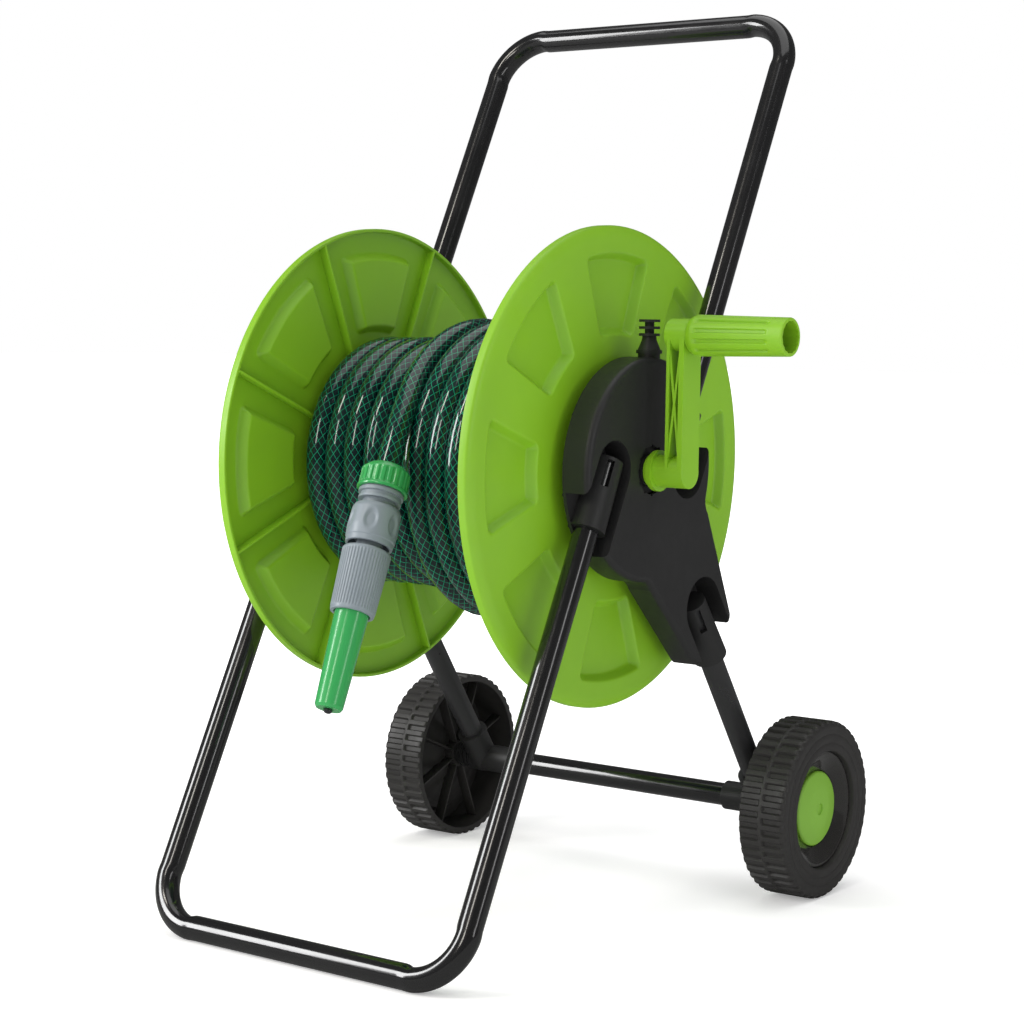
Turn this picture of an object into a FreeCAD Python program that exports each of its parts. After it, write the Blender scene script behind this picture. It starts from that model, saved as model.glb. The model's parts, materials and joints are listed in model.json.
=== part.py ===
"""Garden hose reel cart: two tube hoops, moulded side brackets, a drum with its hose, and two wheels.

Lengths are millimetres, +Z is up. The parts are drawn in cart coordinates (X = 0 midway between the
side brackets, Y = 0 on the drum's axis with +Y towards the wheels, Z = 0 on the ground) and are
moved to the centre of the cart's footprint when they are written.
"""
import FreeCAD, Part
import math
import os

os.makedirs("parts", exist_ok=True)
V = FreeCAD.Vector
X_DIR = V(1, 0, 0)
Y_DIR = V(0, 1, 0)
Z_DIR = V(0, 0, 1)

# ---- driving dimensions -------------------------------------------------------------------------
DRUM_Z = 342.6            # height of the drum's axis
REEL_X = 3.5              # the drum sits a little towards the crank

TUBE_D = 18.0             # frame tube
TUBE_WALL = 1.2
TUBE_X = 137.4            # centre of the hoops' legs, each side
HOOP_LEAN = 26.5          # degrees from vertical
HOOP_OFFSET = 38.0        # from the drum's axis to each hoop's plane
HOOP_BEND = 38.0          # bend radius of a hoop's corner, on its centre line
HANDLE_REACH = 400.0      # from level with the drum's axis to the handle bar
SOCKET_START = 12.0       # how far from level with the axis a hoop's legs end

LEG_X = 140.0             # centre of the rear legs
AXLE_Y = 191.9
WHEEL_R = 70.0
WHEEL_IN = 157.3          # inner edge of the tread
WHEEL_OUT = 196.1         # outer face of the tyre
AXLE_ROD_R = 4.0

FLANGE_R = 175.0
FLANGE_GAP = 230.0        # over the two outer faces
FLANGE_T = 2.4
CORE_R = 47.0
CORE_T = 2.5

HOSE_D = 17.5
HOSE_PITCH = 18.4
LAYER_STEP = 15.2
COIL_TURNS_WIDE = 10      # turns across the drum
COIL_X0 = -99.5           # left edge of the wound hose

CASE_R = 81.0
CASE_IN = 129.0           # inner face of the bracket's frame moulding
CASE_OUT = 151.0          # outer face of the cover
CASE_PARTING = 131.5      # where the cover meets the frame moulding
CASE_WALL = 2.5
CASE_ROUND = 4.5

SPINDLE_R = 12.0
RUN_GAP = 0.08            # radial clearance of a running fit
CRANK_LEN = 97.0
GRIP_END = 261.5

FOOT_Z = TUBE_D / 2       # the foot bar lies on the ground
AXLE_Z = WHEEL_R
GRIP_Z = DRUM_Z + CRANK_LEN

LEAN_S = math.sin(math.radians(HOOP_LEAN))
LEAN_C = math.cos(math.radians(HOOP_LEAN))
FOOT_REACH = (DRUM_Z + HOOP_OFFSET * LEAN_S - FOOT_Z) / LEAN_C

LEG_ANGLE = math.degrees(math.atan2(AXLE_Y, DRUM_Z - AXLE_Z))
LEG_S = math.sin(math.radians(LEG_ANGLE))
LEG_C = math.cos(math.radians(LEG_ANGLE))
LEG_REACH = math.hypot(AXLE_Y, DRUM_Z - AXLE_Z)

FLANGE_OUT_R = REEL_X + FLANGE_GAP / 2
FLANGE_OUT_L = REEL_X - FLANGE_GAP / 2

ORIGIN = V((GRIP_END - WHEEL_OUT) / 2,
           (AXLE_Y + WHEEL_R - HOOP_OFFSET * LEAN_C - FOOT_REACH * LEAN_S - TUBE_D / 2) / 2,
           0)


# ---- helpers --------------------------------------------------------------------------------------
def save(name, *solids):
    """Write one node: its solids side by side, moved to the part's origin."""
    shape = solids[0].copy() if len(solids) == 1 else Part.Compound([s.copy() for s in solids])
    shape.translate(ORIGIN.negative())
    shape.exportStep("parts/" + name + ".step")


def mirrored(shape):
    """The left-hand copy of a right-hand shape."""
    return shape.mirror(V(0, 0, 0), X_DIR)


def hoop(n, m, x=0.0):
    """Point in a hoop's slanted axes: n behind the drum's axis, m up along the hoop's legs."""
    return V(x, n * LEAN_C + m * LEAN_S, DRUM_Z - n * LEAN_S + m * LEAN_C)


def leg(across, along, x=0.0):
    """Point in the rear leg's slanted axes: along runs from the drum's axis towards the axle."""
    return V(x, across * LEG_C + along * LEG_S, DRUM_Z + across * LEG_S - along * LEG_C)


HOOP_UP = V(0, LEAN_S, LEAN_C)
HOOP_BACK = V(0, LEAN_C, -LEAN_S)
LEG_DOWN = V(0, LEG_S, -LEG_C)
LEG_BACK = V(0, LEG_C, LEG_S)


def rod(p, direction, length, r):
    return Part.makeCylinder(r, length, p, direction)


def disc(x0, x1, r, y=0.0, z=DRUM_Z):
    """Solid cylinder along X."""
    return Part.makeCylinder(r, x1 - x0, V(x0, y, z), X_DIR)


def ring(x0, x1, r_out, r_in, y=0.0, z=DRUM_Z):
    return disc(x0, x1, r_out, y, z).cut(disc(x0 - 1, x1 + 1, r_in, y, z))


def fuse(*shapes):
    return shapes[0].multiFuse(list(shapes[1:])).removeSplitter()


def turned(profile, centre, direction):
    """Revolve (along, radius) points about a line through centre along direction."""
    side = direction.cross(Z_DIR if abs(direction.z) < 0.5 else X_DIR).normalize()
    points = [centre + direction * a + side * r for a, r in profile]
    face = Part.Face(Part.makePolygon(points + points[:1]))
    return face.revolve(centre, direction, 360)


def turned_x(profile, y=0.0, z=DRUM_Z):
    return turned([(x, r) for x, r in profile], V(0, y, z), X_DIR)


def prism(points, depth):
    """Extrude a closed polygon along X by depth."""
    return Part.Face(Part.makePolygon(points + points[:1])).extrude(X_DIR * depth)


def slot(end, away, across, half, length, depth):
    """A round-ended slot: end is the centre of its round end and it runs along away."""
    start = end + across * half
    a = Part.Arc(start, end - away * half, end - across * half).toShape()
    p = end - across * half + away * length
    q = start + away * length
    b = Part.LineSegment(end - across * half, p).toShape()
    c = Part.LineSegment(p, q).toShape()
    d = Part.LineSegment(q, start).toShape()
    return Part.Face(Part.Wire([a, b, c, d])).extrude(X_DIR * depth)


def filleted(shape, radius, wanted):
    """Round the edges that wanted picks out."""
    edges = [e for e in shape.Edges if wanted(e)]
    return shape.makeFillet(radius, edges)


def lies_on_x(edge, x, tol=0.01):
    box = edge.BoundBox
    return abs(box.XMin - x) < tol and abs(box.XMax - x) < tol


def pan_screw(head_base, direction, head_r, head_h, shank_r, shank_len):
    """Pan-head self-tapping screw with a cross recess: direction points from head to tip."""
    head = rod(head_base - direction * head_h, direction, head_h, head_r)
    side = direction.cross(Z_DIR if abs(direction.z) < 0.5 else X_DIR).normalize()
    top = head_base - direction * head_h
    for turn in (0, 90):
        bar = Part.makeBox(head_r * 1.1, head_r * 0.25, head_h * 0.6)
        bar.translate(V(-head_r * 0.55, -head_r * 0.125, 0))
        bar.Placement = FreeCAD.Placement(top, FreeCAD.Rotation(Z_DIR, direction)).multiply(
            FreeCAD.Placement(V(0, 0, 0), FreeCAD.Rotation(Z_DIR, turn))).multiply(bar.Placement)
        head = head.cut(bar)
    return head.fuse(rod(head_base, direction, shank_len, shank_r)).removeSplitter()


def bent_tube(points, bend_r, r_out, r_in):
    """Hollow tube along straight runs joined by tangent arcs of one radius."""
    edges, start = [], points[0]
    for before, corner, after in zip(points, points[1:], points[2:]):
        u = (before - corner).normalize()
        w = (after - corner).normalize()
        half = u.getAngle(w) / 2
        back = bend_r / math.tan(half)
        centre = corner + (u + w).normalize() * (bend_r / math.sin(half))
        middle = centre + (corner - centre).normalize() * bend_r
        edges.append(Part.LineSegment(start, corner + u * back).toShape())
        edges.append(Part.Arc(corner + u * back, middle, corner + w * back).toShape())
        start = corner + w * back
    edges.append(Part.LineSegment(start, points[-1]).toShape())
    path = Part.Wire(edges)
    way = (points[1] - points[0]).normalize()
    outer = path.makePipeShell([Part.Wire(Part.makeCircle(r_out, points[0], way))], True, False)
    if r_in <= 0:
        return outer
    inner = path.makePipeShell([Part.Wire(Part.makeCircle(r_in, points[0], way))], True, False)
    return outer.cut(inner)


# ---- frame tubes ----------------------------------------------------------------------------------
TUBE_R = TUBE_D / 2
SCREW_REACH = 32.0        # from a tube's end to the screw that holds it in its socket
SCREW_R = 1.8


def hoop_tube(n, start, reach):
    """A hoop: down one side, across and back up the other, in its slanted plane."""
    corners = [hoop(n, start, -TUBE_X), hoop(n, reach, -TUBE_X), hoop(n, reach, TUBE_X),
               hoop(n, start, TUBE_X)]
    tube = bent_tube(corners, HOOP_BEND, TUBE_R, TUBE_R - TUBE_WALL)
    way = HOOP_UP if reach > start else HOOP_UP.negative()
    for side in (1, -1):
        tube = tube.cut(pilot_hole(hoop(n, start, side * TUBE_X) + way * SCREW_REACH, side))
    return tube


def pilot_hole(place, side):
    """A hole through the inner wall of a tube, side is 1 on the right and -1 on the left."""
    return rod(place - X_DIR * (side * (TUBE_R + 2)), X_DIR * side, 4, SCREW_R)


LEG_TOP = 127.0           # the rear leg's upper end, from the drum's axis
LEG_END = LEG_REACH - 12.0


def rear_leg():
    tube = rod(leg(0, LEG_TOP, LEG_X), LEG_DOWN, LEG_END - LEG_TOP, TUBE_R)
    tube = tube.cut(rod(leg(0, LEG_TOP - 1, LEG_X), LEG_DOWN, LEG_END - LEG_TOP + 2, TUBE_R - TUBE_WALL))
    return tube.cut(pilot_hole(leg(0, LEG_TOP + SCREW_REACH, LEG_X), 1))


# ---- axle -----------------------------------------------------------------------------------------
TEE_IN = 106.0            # inner end of the tee's sleeve
TEE_OUT = 165.0           # end of its ribbed stub
TEE_R = 11.5
TEE_SOCKET_R = 12.0
TEE_SOCKET_LEN = 31.0
AXLE_TUBE_END = 122.0
STUB_R = 9.4
STUB_RIB_R = 10.6
STUB_RIB = 2.2
STUB_PITCH = 4.6
HUB_IN = 166.0            # the wheel's hub
HUB_OUT = 184.0
WASHER_R = 8.5
CLIP_T = 1.6


def axle_tee():
    sleeve = disc(TEE_IN, LEG_X + TEE_SOCKET_R - 2.5, TEE_R, AXLE_Y, AXLE_Z)
    stub = disc(LEG_X - 5, TEE_OUT, STUB_R, AXLE_Y, AXLE_Z)
    ribs = []
    rib_x = LEG_X + TEE_SOCKET_R - 0.5
    while rib_x + STUB_RIB < TEE_OUT:
        ribs.append(disc(rib_x, rib_x + STUB_RIB, STUB_RIB_R, AXLE_Y, AXLE_Z))
        rib_x += STUB_PITCH
    socket = rod(leg(0, LEG_REACH - TEE_SOCKET_LEN, LEG_X), LEG_DOWN, TEE_SOCKET_LEN, TEE_SOCKET_R)
    lip = rod(leg(0, LEG_REACH - TEE_SOCKET_LEN, LEG_X), LEG_DOWN, 3.0, TEE_SOCKET_R + 0.8)
    knuckle = Part.makeSphere(TEE_SOCKET_R, V(LEG_X, AXLE_Y, AXLE_Z))
    body = fuse(sleeve, stub, socket, lip, knuckle, *ribs)
    body = body.cut(rod(leg(0, LEG_REACH - TEE_SOCKET_LEN - 1, LEG_X), LEG_DOWN,
                        LEG_END - LEG_REACH + TEE_SOCKET_LEN + 1, TUBE_R))
    body = body.cut(disc(TEE_IN - 1, AXLE_TUBE_END, TUBE_R, AXLE_Y, AXLE_Z))
    return body.cut(disc(AXLE_TUBE_END - 1, TEE_OUT + 1, AXLE_ROD_R, AXLE_Y, AXLE_Z))


def axle_washer():
    return ring(TEE_OUT, HUB_IN - 0.3, WASHER_R, AXLE_ROD_R, AXLE_Y, AXLE_Z)


def axle_clip():
    """Push-on cap that grips the end of the rod."""
    x0 = HUB_OUT + 0.4
    return ring(x0, x0 + CLIP_T, 7.0, AXLE_ROD_R, AXLE_Y, AXLE_Z)


# ---- wheels ---------------------------------------------------------------------------------------
DISH_R = 46.0             # opening of the wheel's outer face
LEDGE_DEPTH = 6.0
HUB_R = 11.0
WEB_X = 177.0             # front of the web at the hub
CAP_R = 29.5
CAP_X = 187.0             # edge of the green cap
TREAD_T = 6.0
WEB_T = 2.5


def wheel():
    """Tyre moulding: tread, shoulder, outer face, web and hub, open on the inner side."""
    face = WHEEL_OUT
    ledge = WHEEL_OUT - LEDGE_DEPTH
    bore = AXLE_ROD_R + RUN_GAP
    profile = [(WHEEL_IN, WHEEL_R - 2), (WHEEL_IN + 2, WHEEL_R), (face - 4, WHEEL_R),
               (face - 1, WHEEL_R - 2),
               (face, WHEEL_R - 5), (face, DISH_R + 1), (face - 1, DISH_R), (ledge, DISH_R),
               (ledge, DISH_R - 3.5),
               (ledge - 2.1, DISH_R - 3.5), (WEB_X, 20), (WEB_X, HUB_R), (HUB_OUT, HUB_R), (HUB_OUT, bore),
               (HUB_IN, bore), (HUB_IN, HUB_R), (WEB_X - WEB_T, HUB_R), (WEB_X - WEB_T, 21),
               (ledge - 2.1 - WEB_T, DISH_R - 2.5), (ledge - 2.1 - WEB_T, DISH_R + 4),
               (face - 5, DISH_R + 8),
               (face - 5, WHEEL_R - TREAD_T), (WHEEL_IN, WHEEL_R - TREAD_T)]
    body = turned_x(profile, AXLE_Y, AXLE_Z)
    ribs = []
    for i in range(8):
        rib = Part.makeBox(WEB_X - 1 - HUB_IN, WHEEL_R - TREAD_T - 9, 1.6, V(HUB_IN, 10, -0.8))
        rib.rotate(V(0, 0, 0), X_DIR, 45 * i + 22.5)
        rib.translate(V(0, AXLE_Y, AXLE_Z))
        ribs.append(rib)
    return fuse(body, *ribs)


def wheel_disc():
    """Glossy dished trim ring that clips on to the ledge in the outer face."""
    ledge = WHEEL_OUT - LEDGE_DEPTH
    rim = DISH_R - 0.3
    edge = CAP_R + 0.7
    profile = [(ledge + 2, rim), (ledge + 2, rim - 2.5), (CAP_X - 1, edge), (CAP_X - 2.6, edge),
               (ledge, rim - 3.3), (ledge, rim)]
    return turned_x(profile, AXLE_Y, AXLE_Z)


def hub_cap():
    """Domed cap with a skirt that snaps round the hub."""
    top = CAP_X + 3.6
    profile = [(CAP_X - 4, CAP_R), (CAP_X, CAP_R), (CAP_X + 2.5, 16.2), (top, 5.2), (top - 0.6, 5.0),
               (top - 0.6, 0),
               (top - 2.4, 0), (top - 2.7, 15.8), (CAP_X - 1.5, CAP_R - 1.6), (CAP_X - 4, CAP_R - 1.6)]
    shell = turned_x(profile, AXLE_Y, AXLE_Z)
    skirt = ring(WEB_X + 2, top - 2.3, HUB_R + 1.6, HUB_R, AXLE_Y, AXLE_Z)
    return shell.fuse(skirt).removeSplitter()


# ---- side bracket: frame moulding and cover ---------------------------------------------------------
LOBE_NEAR = 75.0          # the lobe towards the rear leg, along the leg from the drum's axis
LOBE_FAR = 165.5
LOBE_NEAR_HALF = 46.0
LOBE_FAR_HALF = 29.0
LOBE_CORNER = 9.0         # rounding of the lobe's far corners and of its joins with the round body
LOBE_JOIN = 12.0
SLOT_HALF = 21.0          # half width of the recesses round the hoop sockets
SLOT_N = 44.5
SLOT_M = 20.0
REAR_SLOT_HALF = 23.5
REAR_SLOT_ALONG = 130.0
SLEEVE_R = 12.2
SLEEVE_MOUTH_R = 13.4
SLEEVE_LEN = 54.0
SLEEVE_LEAD = 2.0         # how far the socket reaches past the tube's end
WINDOW_TURN = 38.0        # degrees from straight out
BOSS_R = 19.0
BUSH_R = 15.0
BUSH_LEN = 12.0
BUSH_IN = CASE_IN - 6.0
MANIFOLD_IN = 136.0
MANIFOLD_OUT = 147.5
MANIFOLD_R = 16.5
CASE_HOLE_R = 17.3
INLET_X = 141.5
INLET_Y = 7.5


def case_block(x0, x1, inset=0.0):
    """The bracket's outline as a solid: a round body with a tapering lobe along the rear leg."""
    body = disc(x0, x1, CASE_R - inset)
    corners = [leg(-LOBE_NEAR_HALF + inset, LOBE_NEAR, x0), leg(-LOBE_FAR_HALF + inset, LOBE_FAR - inset, x0),
               leg(LOBE_FAR_HALF - inset, LOBE_FAR - inset, x0), leg(LOBE_NEAR_HALF - inset, LOBE_NEAR, x0),
               leg(LOBE_NEAR_HALF - inset, 0, x0), leg(-LOBE_NEAR_HALF + inset, 0, x0)]
    block = body.fuse(prism(corners, x1 - x0)).removeSplitter()
    half, radius = LOBE_NEAR_HALF - inset, CASE_R - inset
    ends = [leg(side * (LOBE_FAR_HALF - inset), LOBE_FAR - inset) for side in (1, -1)]
    joins = [leg(side * half, math.sqrt(radius ** 2 - half ** 2)) for side in (1, -1)]
    block = filleted(block, LOBE_CORNER - inset, lambda e: runs_along_x(e, ends))
    return filleted(block, LOBE_JOIN + inset, lambda e: runs_along_x(e, joins))


def runs_along_x(edge, places):
    """Whether an edge runs along X through one of these places."""
    box = edge.BoundBox
    gaps = [abs(box.YMin - p.y) + abs(box.YMax - p.y) + abs(box.ZMin - p.z) for p in places]
    return box.XLength > 1 and min(gaps) < 0.2


def case_slots(x0, x1, grow=0.0):
    """The three recesses: one for each hoop's socket and one for the rear leg's."""
    depth = x1 - x0
    return [slot(hoop(-SLOT_N, -SLOT_M, x0), HOOP_UP.negative(), HOOP_BACK, SLOT_HALF + grow, 90, depth),
            slot(hoop(SLOT_N, SLOT_M, x0), HOOP_UP, HOOP_BACK, SLOT_HALF + grow, 90, depth),
            slot(leg(0, REAR_SLOT_ALONG, x0), LEG_DOWN, LEG_BACK, REAR_SLOT_HALF + grow, 60, depth)]


def side_cover(with_inlet):
    """Outer shell of the bracket, with a wall round each recess."""
    block = case_block(CASE_PARTING, CASE_OUT)
    block = filleted(block, CASE_ROUND, lambda e: lies_on_x(e, CASE_OUT))
    shell = block.cut(case_block(CASE_PARTING - 1, CASE_OUT - CASE_WALL, CASE_WALL))
    walls = [w.common(block) for w in case_slots(CASE_PARTING, CASE_OUT - 0.5, 2.0)]
    shell = fuse(shell, *walls)
    for opening in case_slots(CASE_PARTING - 1, CASE_OUT + 1):
        shell = shell.cut(opening)
    shell = shell.cut(disc(CASE_PARTING - 1, CASE_OUT + 1, CASE_HOLE_R))
    if with_inlet:
        under = V(INLET_X, INLET_Y, DRUM_Z + CASE_R - CASE_WALL - 3)
        shell = shell.cut(rod(under, Z_DIR, 20, INLET_R))
    for i in range(12):
        a = math.radians(30 * i)
        y, z = CASE_HOLE_R * math.cos(a), DRUM_Z + CASE_HOLE_R * math.sin(a)
        shell = shell.cut(disc(CASE_OUT - CASE_WALL - 1, CASE_OUT + 1, 1.3, y, z))
    for post in cover_posts(CASE_PARTING, CASE_OUT - 1.0, 4.0):
        shell = shell.fuse(post)
    for hole in cover_posts(CASE_PARTING - 1, CASE_OUT - 6.0, 1.5):
        shell = shell.cut(hole)
    return shell.removeSplitter()


def cover_posts(x0, x1, r):
    """The screw posts that hold the cover to the frame moulding."""
    places = [leg(-31, 88), leg(34, 84), hoop(0, 62), hoop(-62, 36)]
    return [disc(x0, x1, r, p.y, p.z) for p in places]


def sleeve(end, direction):
    """Tapered socket round a tube's end, closed at the top, with a window in its outer side."""
    top = end - direction * SLEEVE_LEAD
    return Part.makeCone(SLEEVE_R, SLEEVE_MOUTH_R, SLEEVE_LEN, top, direction)


def sleeve_window(end, direction, side):
    """The rectangular window in a socket's outer side, at its top and turned a little to the front."""
    w, l, d = 5.5, 20.0, 12.0
    base = end + direction * 0.5 - side * (w / 2) + X_DIR * 3.0
    points = [base, base + side * w, base + side * w + direction * l, base + direction * l]
    window = prism(points, d)
    forward = direction.cross(X_DIR).y < 0
    window.rotate(end, direction, WINDOW_TURN if forward else -WINDOW_TURN)
    return window


HANDLE_END = hoop(HOOP_OFFSET, SOCKET_START, TUBE_X)
FOOT_END = hoop(-HOOP_OFFSET, -SOCKET_START, TUBE_X)
LEG_TOP_END = leg(0, LEG_TOP, LEG_X)
SOCKETS = [(HANDLE_END, HOOP_UP, HOOP_BACK), (FOOT_END, HOOP_UP.negative(), HOOP_BACK),
           (LEG_TOP_END, LEG_DOWN, LEG_BACK)]


def side_frame():
    """Structural moulding: back plate, three tube sockets and the bearing boss."""
    plate = case_block(CASE_IN, CASE_PARTING)
    sockets = [sleeve(end, way) for end, way, side in SOCKETS]
    boss = disc(BUSH_IN, CASE_PARTING + 2, BOSS_R)
    ribs = []
    for angle in range(0, 360, 45):
        rib = Part.makeBox(CASE_IN - BUSH_IN - 1, CASE_R - 22, 2, V(BUSH_IN + 1, 16, -1))
        rib.rotate(V(0, 0, 0), X_DIR, angle + 12)
        rib.translate(V(0, 0, DRUM_Z))
        ribs.append(rib)
    body = fuse(plate, boss, *sockets, *ribs)
    for end, way, side in SOCKETS:
        body = body.cut(rod(end, way, 200, TUBE_R))
        body = body.cut(sleeve_window(end, way, side))
        hole = end + way * SCREW_REACH
        body = body.cut(rod(V(hole.x - TUBE_R - 10, hole.y, hole.z), X_DIR, 12, SCREW_R))
    body = body.cut(disc(BUSH_IN - 1, BUSH_IN + BUSH_LEN, BUSH_R))
    body = body.cut(disc(BUSH_IN, 160, SPINDLE_R + 1))
    for hole in cover_posts(CASE_IN - 10, CASE_PARTING + 1, 1.8):
        body = body.cut(hole)
    for seat in cover_posts(CASE_IN - 10, CASE_IN, 3.6):
        body = body.cut(seat)
    return body.removeSplitter()


def cover_screws():
    return [pan_screw(V(CASE_IN, p.y, p.z), X_DIR, 3.4, 2.2, 1.5, 14.0)
            for p in [c.CenterOfMass for c in cover_posts(0, 1, 1)]]


def tube_screws():
    """Short screws through each socket into its tube."""
    screws = []
    for end, way, side in SOCKETS:
        place = end + way * SCREW_REACH
        depth = SLEEVE_R + (SLEEVE_MOUTH_R - SLEEVE_R) * (SCREW_REACH + SLEEVE_LEAD) / SLEEVE_LEN
        head = V(place.x - depth - 0.4, place.y, place.z)
        screws.append(pan_screw(head, X_DIR, 3.2, 2.0, SCREW_R, 6.0))
    return screws


def hub_bush():
    """Flanged plain bearing for the spindle."""
    return fuse(ring(BUSH_IN, BUSH_IN + BUSH_LEN, BUSH_R, SPINDLE_R + RUN_GAP),
                ring(BUSH_IN - 1.5, BUSH_IN, BUSH_R + 3, SPINDLE_R + RUN_GAP))


def bearing_plug():
    """Plain cap that closes the bearing hole on the side without a crank."""
    profile = [(CASE_OUT - CASE_WALL, 0), (CASE_OUT - CASE_WALL, CASE_HOLE_R - 1.6),
               (CASE_OUT - 6, CASE_HOLE_R - 1.6),
               (CASE_OUT - 6, CASE_HOLE_R), (CASE_OUT, CASE_HOLE_R), (CASE_OUT, CASE_HOLE_R + 1.5),
               (CASE_OUT + 1.4, CASE_HOLE_R + 0.6), (CASE_OUT + 2.4, 6), (CASE_OUT + 2.4, 0)]
    return turned_x(profile)


# ---- water inlet ------------------------------------------------------------------------------------
INLET_BASE = DRUM_Z + CASE_R          # where the inlet leaves the bracket
INLET_R = 8.0
LAND_R = 7.6                          # the three lands of the quick connector
LAND_T = 1.9
LANDS_FROM = 15.0                     # above where the inlet leaves the bracket
LAND_PITCH = 5.0
LAND_NECK_R = 3.4
INLET_BORE_R = 2.2


def water_inlet():
    """Male quick connector on a pipe that feeds the ring round the spindle."""
    z = INLET_BASE
    low = -(CASE_R - 10)
    profile = [(low, 0), (low, INLET_R), (2.5, INLET_R), (2.5, INLET_R + 1.4), (5.0, INLET_R + 1.4),
               (5.0, INLET_R + 0.3), (LANDS_FROM - 3, 5.4), (LANDS_FROM, 5.0)]
    for i in range(3):
        a = LANDS_FROM + i * LAND_PITCH
        profile += [(a, LAND_R), (a + LAND_T, LAND_R), (a + LAND_T, LAND_NECK_R),
                    (a + LAND_PITCH, LAND_NECK_R)]
    profile = profile[:-2] + [(LANDS_FROM + 2 * LAND_PITCH + LAND_T, 0)]
    pipe = turned(profile, V(INLET_X, INLET_Y, z), Z_DIR)
    collar = disc(MANIFOLD_IN, MANIFOLD_OUT, MANIFOLD_R)
    inside = CASE_R - CASE_WALL - 0.5
    pipe = pipe.cut(Part.makeBox(40, 60, inside, V(MANIFOLD_OUT, -30, DRUM_Z)))
    pipe = pipe.cut(Part.makeBox(40, 60, inside, V(MANIFOLD_IN - 40, -30, DRUM_Z)))
    body = fuse(pipe, collar)
    body = body.cut(disc(MANIFOLD_IN - 1, MANIFOLD_OUT + 1, SPINDLE_R + RUN_GAP))
    body = body.cut(ring(INLET_X - 3, INLET_X + 3, SPINDLE_R + 2.2, SPINDLE_R - 1))
    return body.cut(rod(V(INLET_X, INLET_Y, DRUM_Z + SPINDLE_R), Z_DIR, 120, INLET_BORE_R))


# ---- spindles and seals -------------------------------------------------------------------------------
SEAL_R = 0.92
SEAL_GROOVE_R = 10.2
SEAL_X = (137.6, 145.4)
CRANK_IN = 150.6
CRANK_SEAT_R = 8.0
CRANK_SEAT_END = 176.0
HUB_PLATE_R = 30.0
HUB_PLATE_T = 3.0
WATERWAY_R = 4.5


def right_spindle():
    """Hollow spindle: bolted to the flange, fed with water through ports, driven by the crank."""
    inner = FLANGE_OUT_R - FLANGE_T
    plate = disc(inner - HUB_PLATE_T, inner, HUB_PLATE_R)
    shaft = disc(inner - HUB_PLATE_T - 14, CRANK_IN - 0.6, SPINDLE_R)
    drive = disc(CRANK_IN - 2, CRANK_SEAT_END, CRANK_SEAT_R)
    flat = Part.makeBox(40, 40, 10, V(CRANK_IN, -20, DRUM_Z + CRANK_SEAT_R - 1.6))
    body = fuse(plate, shaft, drive.cut(flat))
    for x in SEAL_X:
        body = body.cut(ring(x - 1.1, x + 1.1, SPINDLE_R + 1, SEAL_GROOVE_R))
    body = body.cut(disc(inner - HUB_PLATE_T - 10, INLET_X + 2, WATERWAY_R))
    body = body.cut(rod(V(INLET_X, 0, DRUM_Z - 20), Z_DIR, 40, 2.4))
    return screw_holes(body, inner - HUB_PLATE_T - 1, inner + 1)


def left_spindle():
    inner = FLANGE_OUT_L + FLANGE_T
    plate = disc(inner, inner + HUB_PLATE_T, HUB_PLATE_R)
    shaft = disc(-CASE_PARTING - 6, inner + HUB_PLATE_T + 6, SPINDLE_R)
    return screw_holes(fuse(plate, shaft), inner - 1, inner + HUB_PLATE_T + 1)


def hub_screw_places():
    return [V(0, 24 * math.cos(a), 24 * math.sin(a)) for a in [math.radians(60 * i + 30) for i in range(6)]]


def screw_holes(body, x0, x1, r=1.7):
    for p in hub_screw_places():
        body = body.cut(disc(x0, x1, r, p.y, DRUM_Z + p.z))
    return body


def spindle_seals():
    return [Part.makeTorus(SEAL_GROOVE_R + SEAL_R, SEAL_R, V(x, 0, DRUM_Z), X_DIR) for x in SEAL_X]


def hub_screws(face_x, inward):
    """Six screws through the flange into the spindle's plate: inward is +X or -X."""
    return [pan_screw(V(face_x, p.y, DRUM_Z + p.z), inward, 3.3, 2.2, 1.7, FLANGE_T + HUB_PLATE_T)
            for p in hub_screw_places()]


# ---- drum -----------------------------------------------------------------------------------------
PAD_IN_R = 95.5           # foot of a pad's raised side
PAD_OUT_R = 156.5
PAD_IN_ANGLE = 12.6       # half of the angle that it spans, at its inner and outer edge
PAD_OUT_ANGLE = 15.3
PAD_DEPTH = 7.0
PAD_SLOPE = 5.5
RIB_T = 2.0
RIB_H = 7.0
RIM_ROUND = 3.8
LIP_DEPTH = 9.1


def sector(x, inset):
    """Closed wire of a pad's outline, inset from its foot and centred on +Y, in the plane at x."""
    def at(r, way, deg):
        a = way * (math.radians(deg) - inset / r)
        return V(x, r * math.cos(a), DRUM_Z + r * math.sin(a))
    r0, r1 = PAD_IN_R + inset, PAD_OUT_R - inset
    corners = [at(r1, -1, PAD_OUT_ANGLE), at(r1, 1, PAD_OUT_ANGLE), at(r0, 1, PAD_IN_ANGLE),
               at(r0, -1, PAD_IN_ANGLE)]
    outer = Part.Arc(corners[0], at(r1, 0, 0), corners[1]).toShape()
    side_b = Part.LineSegment(corners[1], corners[2]).toShape()
    inner = Part.Arc(corners[2], at(r0, 0, 0), corners[3]).toShape()
    side_a = Part.LineSegment(corners[3], corners[0]).toShape()
    return Part.Wire([outer, side_b, inner, side_a])


def pad(x_foot, x_top, inset):
    """A frustum between a pad's foot at the plate and its smaller top."""
    return Part.makeLoft([sector(x_foot, inset), sector(x_top, inset + PAD_SLOPE)], True, True)


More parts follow.
